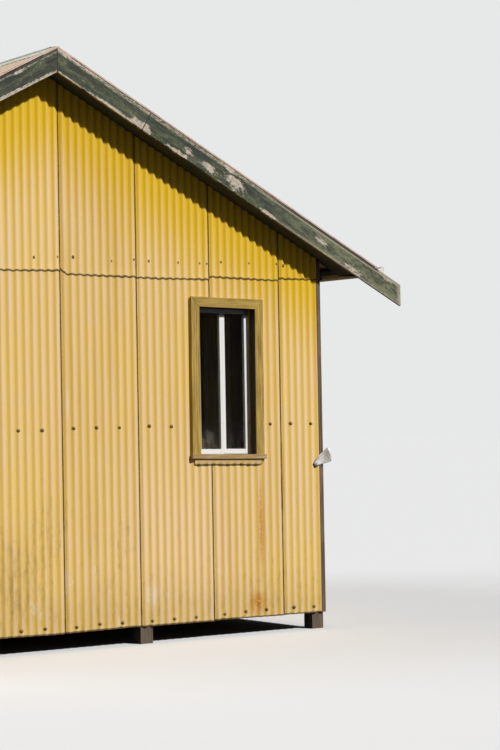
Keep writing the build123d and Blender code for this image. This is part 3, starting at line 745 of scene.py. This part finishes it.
def thick_grid(grid, keep):
    """A grid of points given 1 gauge of thickness, as points and faces, with hard edges round what is kept.

    grid is rows by columns by (u, v, z); keep says which cells are iron. The last result says which point
    of the grid each point comes from.
    """
    rows, columns = grid.shape[:2]
    count = rows * columns
    index = np.arange(count).reshape(rows, columns)
    corners = np.stack([index[:-1, :-1], index[:-1, 1:], index[1:, 1:], index[1:, :-1]], axis=-1)
    front = corners[keep]
    edges = {}
    for face in front.tolist():
        for a, b in zip(face, face[1:] + face[:1]):
            if (b, a) in edges:
                del edges[(b, a)]
            else:
                edges[(a, b)] = True
    rim = np.array([i for a, b in edges for i in (b, a, a + count, b + count)], int)
    points = grid.reshape(-1, 3)
    both = np.concatenate([points, points + (0, GAUGE, 0)])
    faces = [*front.tolist(), *(front[:, ::-1] + count).tolist()]
    faces += (2 * count + np.arange(len(rim)).reshape(-1, 4)).tolist()
    return np.concatenate([both, both[rim]]), faces, np.concatenate([np.arange(2 * count), rim]) % count


def sheet_columns(wall, nominal, start, end, gaps):
    """Where a sheet has columns of points: close together at its seams, and at the sides of each gap."""
    us = [start, end, *np.arange(nominal, end, PITCH / wall.folds)]
    for seam in (nominal, nominal + SHEET):
        us += [seam, *(seam + side * away for away in SEAM_COLUMNS for side in (-1, 1))]
    for middle, wide, _, _ in gaps:
        us += [middle + side * (wide / 2 + LINER + EASE) for side in (-1, 1)]
    return np.unique(np.round([u for u in us if start <= u <= end], 4))


def sheet_rows(low, high, spacing, gaps):
    """Where a sheet has rows of points: close together at its foot, and at the ends of each gap."""
    zs = [low + 0.012, low + 0.03, *np.linspace(low, high, max(2, round((high - low) / spacing) + 1))]
    for _, _, gap_high, foot in gaps:
        zs += [foot - LINER - EASE, foot + gap_high + LINER + EASE]
    return np.unique(np.round(zs, 4))


def iron_cells(us, z, gaps):
    """Which cells of a sheet's grid are iron: those with some height that lie outside every gap."""
    middle_u = (us[:-1] + us[1:]) / 2
    middle_z = (z[:-1, :-1] + z[1:, :-1] + z[:-1, 1:] + z[1:, 1:]) / 4
    tall = np.diff(z, axis=0) > 1e-5
    keep = tall[:, :-1] | tall[:, 1:]
    for middle, wide, high, foot in gaps:
        beside = np.abs(middle_u - middle) < wide / 2 + LINER
        keep &= ~(beside & (middle_z > foot - LINER) & (middle_z < foot + high + LINER))
    return keep


def loosened(u, v, z, start, crinkle):
    """u and v of a sheet whose first edge curls out and wavers, more so along a crinkled stretch."""
    loose = np.where((z > crinkle[0]) & (z < crinkle[1]), LOOSE, 1.0) if crinkle else 1.0
    curl = CURL + loose * np.abs(waver(EDGE_WAVER)(z))
    v = v - curl * fade(u - start, 0.014)
    return u + loose * waver(EDGE_WAVER)(z) * fade(u - start, 0.02), v


def sheet(mesh, wall, nominal, foot, head, cover, crinkle):
    """One corrugated sheet, its first edge lifted a little and its seams and ends marked for the paint."""
    start = max(nominal, -wall.half)
    end = min(nominal + SHEET + (PITCH if wall.lap else 0.0) - SEAT, wall.half)
    near = [gap for gap in wall.gaps
            if start < gap[0] + gap[1] / 2 + 0.03 and end > gap[0] - gap[1] / 2 - 0.03]
    us = sheet_columns(wall, nominal, start, end, near)
    u, z = np.meshgrid(us, sheet_rows(np.min(foot(us)), np.max(head(us)), wall.spacing, near))
    z = np.clip(z, foot(u), head(u))
    v = (LEAN if wall.lap else 0.0) * (u - nominal) / SHEET + DEPTH * (1 - fold(u - nominal))
    if start == nominal:
        u, v = loosened(u, v, z, start, crinkle)
    lift = np.maximum(waver(FOOT_WAVER)(u * 3) + 0.0024, 0)
    v = v - lift * fade(u - nominal - SHEET, TUCK_OVER) * fade(z - foot(u), 0.03)
    to_joint = np.abs((u - nominal + SHEET / 2) % SHEET - SHEET / 2)
    data = {
        # the crests, shifted towards the sun for a painted highlight
        "crest": fold(u - nominal - HIGHLIGHT_SHIFT),
        # painted counter-shade across each fold, lightest away from the sun
        "lee": fold(u - nominal + COUNTERSHADE_SHIFT),
        "seam": to_joint if wall.lap else np.minimum(u - start, end - u),
        "low": z - foot(u),
        "cover": cover(u) - z,
        "seed": np.full(u.shape, rng.random()),
    }
    points, faces, source = thick_grid(np.stack([u, v, z], axis=-1), iron_cells(us, z, near))
    mesh.add(points, faces, wall.basis, **{key: values.ravel()[source] for key, values in data.items()})


def course(mesh, wall, foot, head, cover, feet=None, crinkles=None):
    """The sheets across a wall: feet is as in LAP_FEET, and crinkles as in CRINKLED."""
    for number, nominal in wall.sheets():
        ends = (feet or {}).get(number) or [rng.uniform(-0.005, 0.005) for _ in range(2)] + [0.0]
        ragged = waver(FOOT_WAVER)

        def sheet_foot(u, nominal=nominal, ends=ends, ragged=ragged):
            along = (u - nominal) / SHEET
            torn = ends[2] * (1 - np.sqrt(1 - fade(u - nominal, TORN_WIDE) ** 2))
            scallop = SCALLOP * np.cos(2 * math.pi * (u - nominal) / PITCH) if feet else 0.0
            tucked = TUCK * np.clip((u - nominal - SHEET) / TUCK_OVER, 0, 1) if wall.lap else 0.0
            return foot + ends[0] * (1 - along) + ends[1] * along + ragged(u * 2) + torn + tucked - scallop

        sheet(mesh, wall, nominal, sheet_foot, head, cover, (crinkles or {}).get(number))


def nail(mesh, basis, u, z, size, shift, sides=10):
    """A domed head on a washer that is bent over its crest."""
    points = [(u, -NAIL_HIGH * size, z)]
    for reach, out in NAIL_RINGS:
        for turn in np.arange(sides) * 2 * math.pi / sides:
            across = NAIL_RADIUS * size * reach * math.cos(turn)
            up = NAIL_RADIUS * size * reach * math.sin(turn)
            points.append((u + across, DEPTH * fold(across + shift) - out * size, z + up))
    mesh.add(points, fan(sides) + between_rings(1, len(NAIL_RINGS), sides), basis)


def nail_row(mesh, wall, z, top, crests=NAIL_CRESTS, seen=None):
    """Nails across a wall at one height; one that would meet a casing moves on by a crest."""
    lap = crests is LAP_CRESTS
    shift = LAP_SHIFT if lap else NAIL_SHIFT

    def clear(u, height):
        return all(abs(u - middle) > wide / 2 + ARCHITRAVE_WIDE + 0.02 or height > foot + high + 0.12
                   or height < foot - 0.14 for middle, wide, high, foot in wall.gaps)

    for number, nominal in wall.sheets():
        for place, crest in enumerate((seen or {}).get(number, crests)):
            u = nominal + crest * PITCH + shift
            height = z + rng.uniform(-0.012, 0.012)
            size = rng.uniform(0.85, 1.1) * (0.7 if lap and place else 1.0)
            if not clear(u, height):
                u += PITCH
            if abs(u) < wall.half - 0.01 and clear(u, height) and height < top(u) - 0.05:
                nail(mesh, wall.basis, u, height, size, shift)


# The iron of the walls and the roof

def window_gap(middle):
    return middle, WINDOW_WIDE, WINDOW_HIGH, WINDOW_FOOT


def gables(paint, nail_paint):
    """Each gable in two courses; the front one is drawn finer, and has the lap that the photograph shows."""
    gaps = [window_gap(-GABLE_WINDOW), window_gap(GABLE_WINDOW)]
    for name, angle, spacing, folds in (("front", 0, 0.1, 10), ("back", 180, 0.4, 8)):
        feet, crinkles, seen = (LAP_FEET, CRINKLED, LAP_CRESTS_SEEN) if name == "front" else (None,) * 3
        low_wall = Wall(wall_basis(angle, GABLE_FACE), GABLE_HALF, GABLE_JOINT, gaps, True, spacing, folds)
        high_wall = Wall(wall_basis(angle, UPPER_FACE), GABLE_HALF, GABLE_JOINT, (), True, spacing, folds)
        lower, upper, nails = (Mesh(f"{name}_{part}") for part in ("lower_sheets", "upper_sheets", "nails"))
        course(lower, low_wall, SHEET_FOOT, level(COURSE_HEAD), rake, crinkles=crinkles)
        course(upper, high_wall, COURSE_FOOT, rake, rake, feet)
        for z in NAIL_ROWS:
            nail_row(nails, low_wall, z, rake)
        nail_row(nails, high_wall, COURSE_FOOT + LAP_NAILS, rake, LAP_CRESTS, seen)
        lower.finish(paint, "wall_iron", f"{name}_lower_iron", smooth=True)
        upper.finish(paint, "wall_iron", f"{name}_upper_iron", smooth=True)
        nails.finish(nail_paint, "wall_iron", smooth=True)


def sides(paint, nail_paint):
    for name, angle, gaps in (("right", 90, []), ("left", 270, [DOOR_GAP])):
        wall = Wall(wall_basis(angle, SIDE_FACE), SIDE_HALF, -SIDE_HALF, [*gaps, window_gap(SIDE_WINDOW)])
        sheets, nails = Mesh(f"{name}_sheets"), Mesh(f"{name}_nails")
        course(sheets, wall, SHEET_FOOT, level(SIDE_HEAD), level(SIDE_HEAD))
        for z in NAIL_ROWS:
            nail_row(nails, wall, z, level(SIDE_HEAD))
        sheets.finish(paint, "wall_iron", f"{name}_iron", smooth=True)
        nails.finish(nail_paint, "wall_iron", smooth=True)


def roof(paint, nail_paint):
    half = math.floor(2 * BARGE_FACE / PITCH) * PITCH / 2
    reach = (RAFTER_END + EAVE_OVER) / RUN
    top = level(reach - RIDGE_GAP / RUN)
    for side, name in ((1, "right"), (-1, "left")):
        wall = Wall(slope_basis(side), half, -half, spacing=0.5)
        sheets, nails = Mesh(f"{name}_roof_sheets"), Mesh(f"{name}_roof_nails")
        course(sheets, wall, 0.0, top, top)
        for down in np.linspace(ROOF_NAILS_TOP, RAFTER_END / RUN - ROOF_NAILS_FOOT, ROOF_NAIL_ROWS):
            nail_row(nails, wall, reach - down, top)
        sheets.finish(paint, "roof_iron", f"{name}_roof_iron", smooth=True)
        nails.finish(nail_paint, "roof_iron", smooth=True)


# Windows and door

def racked(middle, lean):
    """The photographed window's lean, about its centre."""
    centre = WINDOW_FOOT + WINDOW_HIGH / 2
    return lambda u, z: (u + RACK_SHIFT + lean * (z - centre), z + RACK_UP * (u - middle))


def casing(boards, sills, lining, basis, gap, depth):
    """Mitred architraves, sill and the boards of the reveal, each into its own mesh; the iron is at v = 0."""
    middle, wide, high, foot = gap
    left, right, head = middle - wide / 2, middle + wide / 2, foot + high
    out, front, face = ARCHITRAVE_WIDE, -SEAT, -SEAT - ARCHITRAVE_THICK
    left_outline = [(left - out, head + out), (left - out, foot), (left, foot), (left, head)]
    right_outline = [(right, head), (right, foot), (right + out, foot), (right + out, head + out)]
    head_outline = [(left - out, head + out), (left, head), (right, head), (right + out, head + out)]
    board(boards, basis, left_outline, face, front, True)
    board(boards, basis, right_outline, face, front, True)
    board(boards, basis, head_outline, face - HEAD_PROUD, front)
    ear = out + SILL_EAR
    plank(sills, basis, left - ear, right + ear, front - SILL_THICK, front, foot - SILL_HIGH, foot)
    for u in (left - LINER, right):
        plank(lining, basis, u, u + LINER, front, depth, foot, head, True)
    for z in (head, foot - LINER):
        plank(lining, basis, left - LINER, right + LINER, front, depth, z, z + LINER)


def sashes(leaves, panes, beads, basis, gap):
    """Two leaves that meet in the middle, each with its pane, and the stop beads in front of them."""
    middle, wide, high, foot = gap
    front = -SEAT - ARCHITRAVE_THICK + SASH_SETBACK
    back = front + SASH_THICK
    pane_front = (front + back - PANE_THICK) / 2
    for side in (-1, 1):
        outer, inner = middle + side * (wide / 2 - SEAT), middle + side * SEAT / 2
        outer_light, inner_light = outer - side * STILE, inner + side * MEETING_STILE
        low, top = foot + SASH_FOOT + SASH_DROP * side, foot + high - SASH_TOP
        for a, b in ((outer, outer_light), (inner_light, inner)):
            plank(leaves, basis, min(a, b), max(a, b), front, back, low, top, True)
        u0, u1 = sorted((outer_light, inner_light))
        for z in (low, top - RAIL):
            plank(leaves, basis, u0, u1, front + RAIL_BACK, back, z, z + RAIL)
        plank(panes, basis, u0 - PANE_IN, u1 + PANE_IN, pane_front, pane_front + PANE_THICK,
              low + RAIL - PANE_IN, top - RAIL + PANE_IN)
    for u in (middle - wide / 2, middle + wide / 2 - BEAD):
        plank(beads, basis, u, u + BEAD, front - BEAD - RAIL_BACK, front - RAIL_BACK, foot, foot + high, True)


def apron(mesh, basis, gap):
    """The flashing that slopes in from under a sill to the crests, scalloped along its foot."""
    middle, wide, _, foot = gap
    half = wide / 2 + ARCHITRAVE_WIDE + SILL_EAR - APRON_SHORT
    us = np.linspace(middle - half, middle + half, 121)
    crest = fold(us - GABLE_JOINT)
    ragged = waver(0.0018)(us * 9)
    down = np.linspace(1, 0, 6)[:, None]
    lower = APRON_SCALLOP * crest + ragged - 0.004
    z = foot - SILL_HIGH - SEAT - APRON_HIGH * down - down ** 2 * lower
    v = -SEAT - GAUGE - APRON_OUT * (1 - down) + APRON_DENT * down ** 2 * (1 - crest)
    u, z = basis.shape(us + 0 * z, z)
    points, faces, source = thick_grid(np.stack([u, v, z], axis=-1), np.ones((len(z) - 1, len(us) - 1), bool))
    same = {"lee": 0.7, "seam": 0.3, "cover": 1.6, "seed": 0.2}
    mesh.add(points, faces, basis, crest=np.tile(crest, len(z))[source],
             low=((1 - down) * APRON_HIGH + 0 * z).ravel()[source],
             **{key: np.full(len(source), value) for key, value in same.items()})


def windows(trim, sill_paint, white, glass, iron, reveal_shade):
    panes, sills, linings, beads, aprons = (Mesh(name) for name in (
        "window_panes", "window_sills", "window_reveals", "window_beads", "sill_aprons"))
    gable_depth, side_depth = GABLE_FACE - FRAME_Y + STUD_DEEP, SIDE_FACE - FRAME_X + STUD_DEEP
    for wall, angle, face, depth, middles in (
        ("front", 0, GABLE_FACE, gable_depth, (-GABLE_WINDOW, GABLE_WINDOW)),
        ("right", 90, SIDE_FACE, side_depth, (SIDE_WINDOW,)),
        ("back", 180, GABLE_FACE, gable_depth, (-GABLE_WINDOW, GABLE_WINDOW)),
        ("left", 270, SIDE_FACE, side_depth, (SIDE_WINDOW,)),
    ):
        boards, leaves = Mesh(f"{wall}_trim"), Mesh(f"{wall}_leaves")
        for middle in middles:
            basis = sash_basis = wall_basis(angle, face)
            if wall == "front" and middle > 0:
                basis = wall_basis(angle, face, racked(middle, RACK_ALONG))
                sash_basis = wall_basis(angle, face, racked(middle, SASH_RACK))
            casing(boards, sills, linings, basis, window_gap(middle), depth)
            sashes(leaves, panes, beads, sash_basis, window_gap(middle))
            apron(aprons, basis, window_gap(middle))
        boards.finish(trim, "trim_paint", f"{wall}_window_casings", bevel=0.0015)
        leaves.finish(white, "sash_paint", f"{wall}_sashes", bevel=0.0012)
    sills.finish(sill_paint, "trim_paint", bevel=0.003)
    linings.finish(reveal_shade, "trim_paint")
    beads.finish(trim, "trim_paint")
    panes.finish(glass, "window_glass", "glass_panes")
    aprons.finish(iron, "wall_iron", "sill_flashings", smooth=True)


def doorway(trim, sill_paint, reveal_shade):
    """The casing of the door, and its leaf of upright boards on three ledges."""
    middle, wide, high, foot = DOOR_GAP
    basis = wall_basis(270, SIDE_FACE)
    boards, sills, lining = Mesh("door_trim"), Mesh("door_sill"), Mesh("door_reveal")
    casing(boards, sills, lining, basis, DOOR_GAP, SIDE_FACE - FRAME_X + STUD_DEEP)
    boards.finish(trim, "trim_paint", "door_casing", bevel=0.0015)
    sills.finish(sill_paint, "trim_paint", bevel=0.003)
    lining.finish(reveal_shade, "trim_paint")
    leaf = Mesh("door_boards")
    front = -SEAT - ARCHITRAVE_THICK + DOOR_SETBACK
    back = front + DOOR_THICK
    half = wide / 2 - EASE
    pitch = 2 * half / DOOR_BOARDS
    for i in range(DOOR_BOARDS):
        u = middle - half + i * pitch
        proud = front + rng.uniform(0, 0.0015)
        plank(leaf, basis, u + DOOR_GROOVE / 2, u + pitch - DOOR_GROOVE / 2, proud, back,
              foot + SEAT, foot + high - EASE, True)
    for z in np.linspace(foot + LEDGE_FROM_END, foot + high - LEDGE_FROM_END, 3):
        plank(leaf, basis, middle - half + LEDGE_IN, middle + half - LEDGE_IN, back, back + LEDGE_THICK,
              z - LEDGE_HIGH / 2, z + LEDGE_HIGH / 2)
    leaf.finish(trim, "door_paint", "door", bevel=0.003)


def door_knob(brass, sides=20):
    middle, wide, _, foot = DOOR_GAP
    face = -SEAT - ARCHITRAVE_THICK + DOOR_SETBACK - SEAT
    u, z = middle + wide / 2 - KNOB_IN, foot + KNOB_UP
    turns = [2 * math.pi * i / sides for i in range(sides)]
    points = [(u + r * math.cos(turn), face - out, z + r * math.sin(turn))
              for r, out in KNOB for turn in turns]
    last = [(len(KNOB) - 1) * sides + i for i in range(sides)]
    knob = Mesh("round_knob")
    knob.add(points, between_rings(0, len(KNOB), sides) + [last], wall_basis(270, SIDE_FACE))
    knob.finish(brass, "knob_metal", "door_knob", smooth=True)


# Boards, ridge, gutters and the loose flashing

def floor_boards(timber_paint):
    low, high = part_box("floor")
    boards = Mesh("floor_boards")
    wide, groove = (high[0] - low[0]) / FLOOR_BOARDS, FLOOR_GROOVE / 2
    flat = Basis((0, 0, 0), (1, 0, 0), (0, 0, -1), (0, 1, 0))
    for i in range(FLOOR_BOARDS):
        u = low[0] + i * wide
        top = -high[2] + rng.uniform(0, 0.001)
        plank(boards, flat, u + groove, u + wide - groove, top, -low[2], low[1], high[1], True)
    boards.finish(timber_paint, "frame_timber", "floor")


def swept(mesh, section, y0, y1):
    """A closed section of (x, z) run along Y, counter-clockwise seen from the front."""
    mesh.add([(x, y, z) for y in (y0, y1) for x, z in section], prism(len(section)))


def band(line, thick):
    """A closed section that gives a line of points a thickness to its left."""
    line = [Vector(p) for p in line]
    sides = []
    for i, point in enumerate(line):
        along = (line[min(i + 1, len(line) - 1)] - line[max(i - 1, 0)]).normalized()
        sides.append(point + Vector((-along.y, along.x)) * thick)
    return [tuple(p) for p in line] + [tuple(p) for p in reversed(sides)]


def raised(line, height):
    return [(x, z + height) for x, z in line]


def cap_height(x):
    return APEX - abs(x) * SLOPE + (CREST + SEAT) / RUN


def ridge(paint, end_paint):
    """The ridge capping with its round roll, in lapped lengths, turned down over the apex at each end."""
    low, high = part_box("ridge_cap")
    wing = high[0]
    centre = cap_height(ROLL) - CAP_GAUGE
    crown = high[2] - centre - 3 * CAP_GAUGE
    line = [(-wing, cap_height(wing))]
    line += [(-ROLL * math.cos(t), centre + crown * math.sin(t)) for t in np.linspace(0, math.pi, 13)]
    line.append((wing, cap_height(wing)))
    crushed = [(x, min(z, crown + centre - END_CRUSHED)) for x, z in line]
    capping_mesh, ends = Mesh("ridge_capping"), Mesh("ridge_ends")
    swept(capping_mesh, band(crushed, CAP_GAUGE), low[1] + CAP_GAUGE, low[1] + CRUSHED_LONG)
    swept(capping_mesh, band(line, CAP_GAUGE), low[1] + CRUSHED_LONG, high[1] - CAP_GAUGE)
    for y in RIDGE_LAPS:
        swept(capping_mesh, band(raised(line, CAP_GAUGE), CAP_GAUGE), y, y + LAP_LONG)
    capping_mesh.finish(paint, "capping", "ridge_cap")
    under = [(x, APEX + 0.001 - abs(x) * SLOPE) for x in (-wing, 0.0, wing)]
    for y, top in ((low[1], crushed), (high[1] - CAP_GAUGE, line)):
        swept(ends, under + raised(top, CAP_GAUGE)[::-1], y, y + CAP_GAUGE)
    ends.finish(end_paint, "capping")


def verge_cappings(paint):
    """Strips over the edges of the roof, each with a face turned down over the barge."""
    low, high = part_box("verge_caps")
    start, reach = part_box("ridge_cap")[1][0] + SEAT, high[0]
    mesh = Mesh("verge_cappings")
    pieces = (      # top, bottom, and how far in from the face it starts and ends
        (0.0, -GAUGE, 0.0, VERGE_WIDE),
        (GAUGE, -VERGE_DROP, 0.0, VERGE_FACE),
        (-0.0035, -GAUGE - 0.003, VERGE_WIDE - 0.004, VERGE_WIDE),
    )
    for y, inwards in ((low[1], 1), (high[1], -1)):
        for side in (-1, 1):
            for top, bottom, near, far in pieces:
                section = [(side * x, cap_height(x) + height) for x, height in
                           ((start, bottom), (reach, bottom), (reach, top), (start, top))]
                swept(mesh, section[::side], *sorted((y + inwards * near, y + inwards * far)))
    mesh.finish(paint, "capping", "verge_caps")


def gutters(paint):
    """Round-fronted gutters with stopped ends."""
    low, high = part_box("right_gutter")
    back, front, foot, lip, end = low[0], high[0], low[2], high[2], high[1]
    heel, large, bead = GUTTER_HEEL, GUTTER_ROUND, GUTTER_BEAD
    curve = [(back, foot + GUTTER_BACK), (back, foot + heel)]
    curve += [(back + heel - heel * math.cos(t), foot + heel - heel * math.sin(t))
              for t in np.linspace(0.2, 1.5, 4)]
    curve += [(front - large + large * math.sin(t), foot + large - large * math.cos(t))
              for t in np.linspace(0.05, math.pi / 2, 7)]
    curve += [(front, lip - bead)]
    curve += [(front - bead + bead * math.cos(t), lip - bead + bead * math.sin(t)) for t in (0.8, 1.6, 2.6)]
    lines = band(curve, GUTTER_GAUGE), curve + [(back + STOP_OUT, foot + GUTTER_BACK)]
    for side, name in ((1, "right"), (-1, "left")):
        mesh = Mesh(f"{name}_guttering")
        section, stop = ([(side * x, z) for x, z in line][::side] for line in lines)
        swept(mesh, section, -end, end)
        for y in (-end, end - GUTTER_GAUGE):
            swept(mesh, stop, y, y + GUTTER_GAUGE)
        mesh.finish(paint, "gutter_metal", f"{name}_gutter")


def bent_scrap(paint):
    """The loose end of a flashing at the front right corner, torn and curled."""
    low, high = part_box("corner_flashing")
    middle_x, middle_z = SCRAP_MIDDLE
    flat = [SCRAP_MIDDLE]
    for share in np.arange(1, SCRAP_RINGS + 1) / SCRAP_RINGS:
        flat += [(middle_x + (x - middle_x) * share, middle_z + (z - middle_z) * share) for x, z in SCRAP]

    def bent(x, z):
        out = max(0.0, x) + 0.010 * math.sin(9 * z + 4 * x) * max(0.0, x + 0.06) / 0.1
        return SIDE_FACE + x, high[1] - 0.001 - max(0.0, out), low[2] + z

    faces = fan(len(SCRAP)) + between_rings(1, SCRAP_RINGS, len(SCRAP))
    mesh = Mesh("torn_flashing")
    mesh.add([bent(x, z) for x, z in flat], [face[::-1] for face in faces])
    piece = mesh.finish(paint, "flashing_metal", "corner_flashing", smooth=True)
    solid = piece.modifiers.new("sheet", "SOLIDIFY")
    solid.thickness = CAP_GAUGE
    solid.offset = 0.0


# What carries over from the frame

def cad_pieces(materials):
    """Gives each node that is shown as it is its material, and worn edges to the timber."""
    for (material, bevel), names in materials.items():
        for name in names:
            node = frame["nodes"][name]
            node.data.materials.clear()
            node.data.materials.append(material)
            if bevel:
                add_bevel(node, bevel)


# Stage, light and camera

def stage():
    """A wide pale floor that throws little light back."""
    mesh = bpy.data.meshes.new("studio_floor")
    reach = 120.0
    corners = [(-reach, -reach, 0), (reach, -reach, 0), (reach, reach, 0), (-reach, reach, 0)]
    mesh.from_pydata(corners, [], [(0, 1, 2, 3)])
    ground = bpy.data.objects.new("studio_floor", mesh)
    bpy.context.scene.collection.objects.link(ground)
    paint = Paint("studio_floor", roughness=0.9)
    thrown, shown = 0.06, 0.765
    paint.colour = paint.node("ShaderNodeLightPath", {}, "Is Camera Ray") * (shown - thrown) + thrown
    paint.set("Specular IOR Level", 0.0)
    mesh.materials.append(paint.finish())


def world():
    """A pale backdrop for the camera and for reflections; a plainer sky lights the cabin."""
    sky = bpy.data.worlds.new("studio")
    bpy.context.scene.world = sky
    sky.use_nodes = True
    tree = sky.node_tree
    rays = tree.nodes.new("ShaderNodeLightPath")
    seen = rays.outputs["Is Camera Ray"]
    for output in ("Is Glossy Ray", "Is Transmission Ray"):
        most = tree.nodes.new("ShaderNodeMath")
        most.operation = "MAXIMUM"
        tree.links.new(seen, most.inputs[0])
        tree.links.new(rays.outputs[output], most.inputs[1])
        seen = most.outputs[0]
    shade = tree.nodes.new("ShaderNodeMix")
    shade.data_type = "RGBA"
    shade.inputs[6].default_value = (0.07, 0.072, 0.076, 1.0)
    shade.inputs[7].default_value = (0.80, 0.81, 0.81, 1.0)
    tree.links.new(seen, shade.inputs[0])
    background = tree.nodes["Background"]
    tree.links.new(shade.outputs[2], background.inputs["Color"])
    background.inputs["Strength"].default_value = 1.0


def lamp(name, direction, energy, angle):
    light = bpy.data.lights.new(name, "SUN")
    light.energy = energy
    light.angle = math.radians(angle)
    holder = bpy.data.objects.new(name, light)
    holder.rotation_euler = Vector(direction).to_track_quat("Z", "Y").to_euler()
    bpy.context.scene.collection.objects.link(holder)


def camera():
    data = bpy.data.cameras.new("photo_camera")
    data.lens = CAMERA_LENS
    data.sensor_width = 36.0
    data.clip_end = 400.0
    holder = bpy.data.objects.new("photo_camera", data)
    ahead = math.cos(CAMERA_PITCH)
    forward = Vector((math.sin(CAMERA_YAW) * ahead, math.cos(CAMERA_YAW) * ahead, math.sin(CAMERA_PITCH)))
    across = Vector((math.cos(CAMERA_YAW), -math.sin(CAMERA_YAW), 0))
    up = across.cross(forward)
    right = math.cos(CAMERA_ROLL) * across + math.sin(CAMERA_ROLL) * up
    above = math.cos(CAMERA_ROLL) * up - math.sin(CAMERA_ROLL) * across
    turn = Matrix((right, above, -forward)).transposed()
    holder.matrix_world = Matrix.Translation(CAMERA_AT) @ turn.to_4x4()
    bpy.context.scene.collection.objects.link(holder)
    bpy.context.scene.camera = holder


# Materials

PALE_TIMBER = ((128, 96, 66), (176, 142, 104), (150, 120, 88))
# the darker timber of the joists, purlins, ridge board and rafters is painted shade under the roof
DARK_TIMBER = ((38, 30, 22), (64, 52, 38), (54, 44, 34))
yellow = wall_iron()
cream = roof_iron()
nail_metal = plain_metal("nail_heads", (112, 86, 42), (158, 124, 62), 0.6, 0.1, (78, 50, 22))
roof_nails = plain_metal("roof_nail_heads", (140, 132, 112), (176, 168, 148), 0.6, 0.2, (120, 72, 36))
trim = timber("trim_paint", (128, 98, 28), (196, 164, 76), (164, 120, 50), None, (192, 170, 100))
sill_paint = timber("sill_paint", (132, 102, 56), (192, 160, 104), (190, 162, 130), None, (206, 180, 140))
# the reveals' boards are dark as painted shade inside the openings
reveal_shade = timber("reveal_timber", (44, 36, 20), (70, 58, 34), (52, 44, 28))
white = sash_paint()
glass = window_glass()
verge = capping("verge_capping", (186, 148, 124), (214, 186, 166), (128, 88, 66))
ridge_paint = capping("ridge_capping", (186, 190, 172), (214, 214, 198), (140, 128, 104))
gutter_paint = capping("gutter_metal", (214, 210, 200), (232, 230, 224), (168, 148, 120))
brass = plain_metal("knob_metal", (150, 118, 58), (178, 146, 80), 0.35, 1.0)
scrap = flashing_metal()
barges = barge_paint()
# the lining is dark as painted shade under the eaves
lining = timber("lining_timber", (40, 42, 32), (66, 68, 54), (84, 82, 66), slope_place)
post = timber("corner_timber", (62, 48, 36), (112, 90, 70), (140, 116, 92), along_axis(2))
stump = timber("stump_timber", (74, 62, 50), (112, 96, 80), (92, 84, 72), along_axis(2))
frame_x = timber("frame_timber_x", *PALE_TIMBER, along_axis(0))
frame_y = timber("frame_timber_y", *DARK_TIMBER, along_axis(1))
frame_z = timber("frame_timber_z", *PALE_TIMBER, along_axis(2))
frame_slope = timber("frame_timber_slope", *DARK_TIMBER, slope_place)
floor_timber = timber("floor_timber", (120, 92, 62), (170, 136, 98), (140, 114, 84))

# Pieces

gables(yellow, nail_metal)
sides(yellow, nail_metal)
roof(cream, roof_nails)
windows(trim, sill_paint, white, glass, yellow, reveal_shade)
doorway(trim, sill_paint, reveal_shade)
door_knob(brass)
floor_boards(floor_timber)
ridge(ridge_paint, verge)
verge_cappings(verge)
gutters(gutter_paint)
bent_scrap(scrap)
cad_pieces({
    (barges, 0.0025): ("front_left_barge", "front_right_barge", "back_barges"),
    (lining, 0.001): ("verge_linings",),
    (post, 0.002): ("corner_stops",),
    (stump, 0.004): ("stumps",),
    (frame_x, 0.002): ("bearers", "ceiling_ties"),
    (frame_y, 0.002): ("joists", "ridge_board", "right_purlins", "left_purlins"),
    (frame_slope, 0.002): ("right_rafters", "left_rafters"),
    (frame_z, 0.0): ("front_frame", "back_frame", "left_frame", "right_frame"),
})

stage()
world()
lamp("key", SUN_FROM, 3.95, 2.5)
lamp("fill", (-0.75, 0.45, 0.5), 1.2, 40)
camera()
bpy.context.scene.view_settings.view_transform = "Standard"
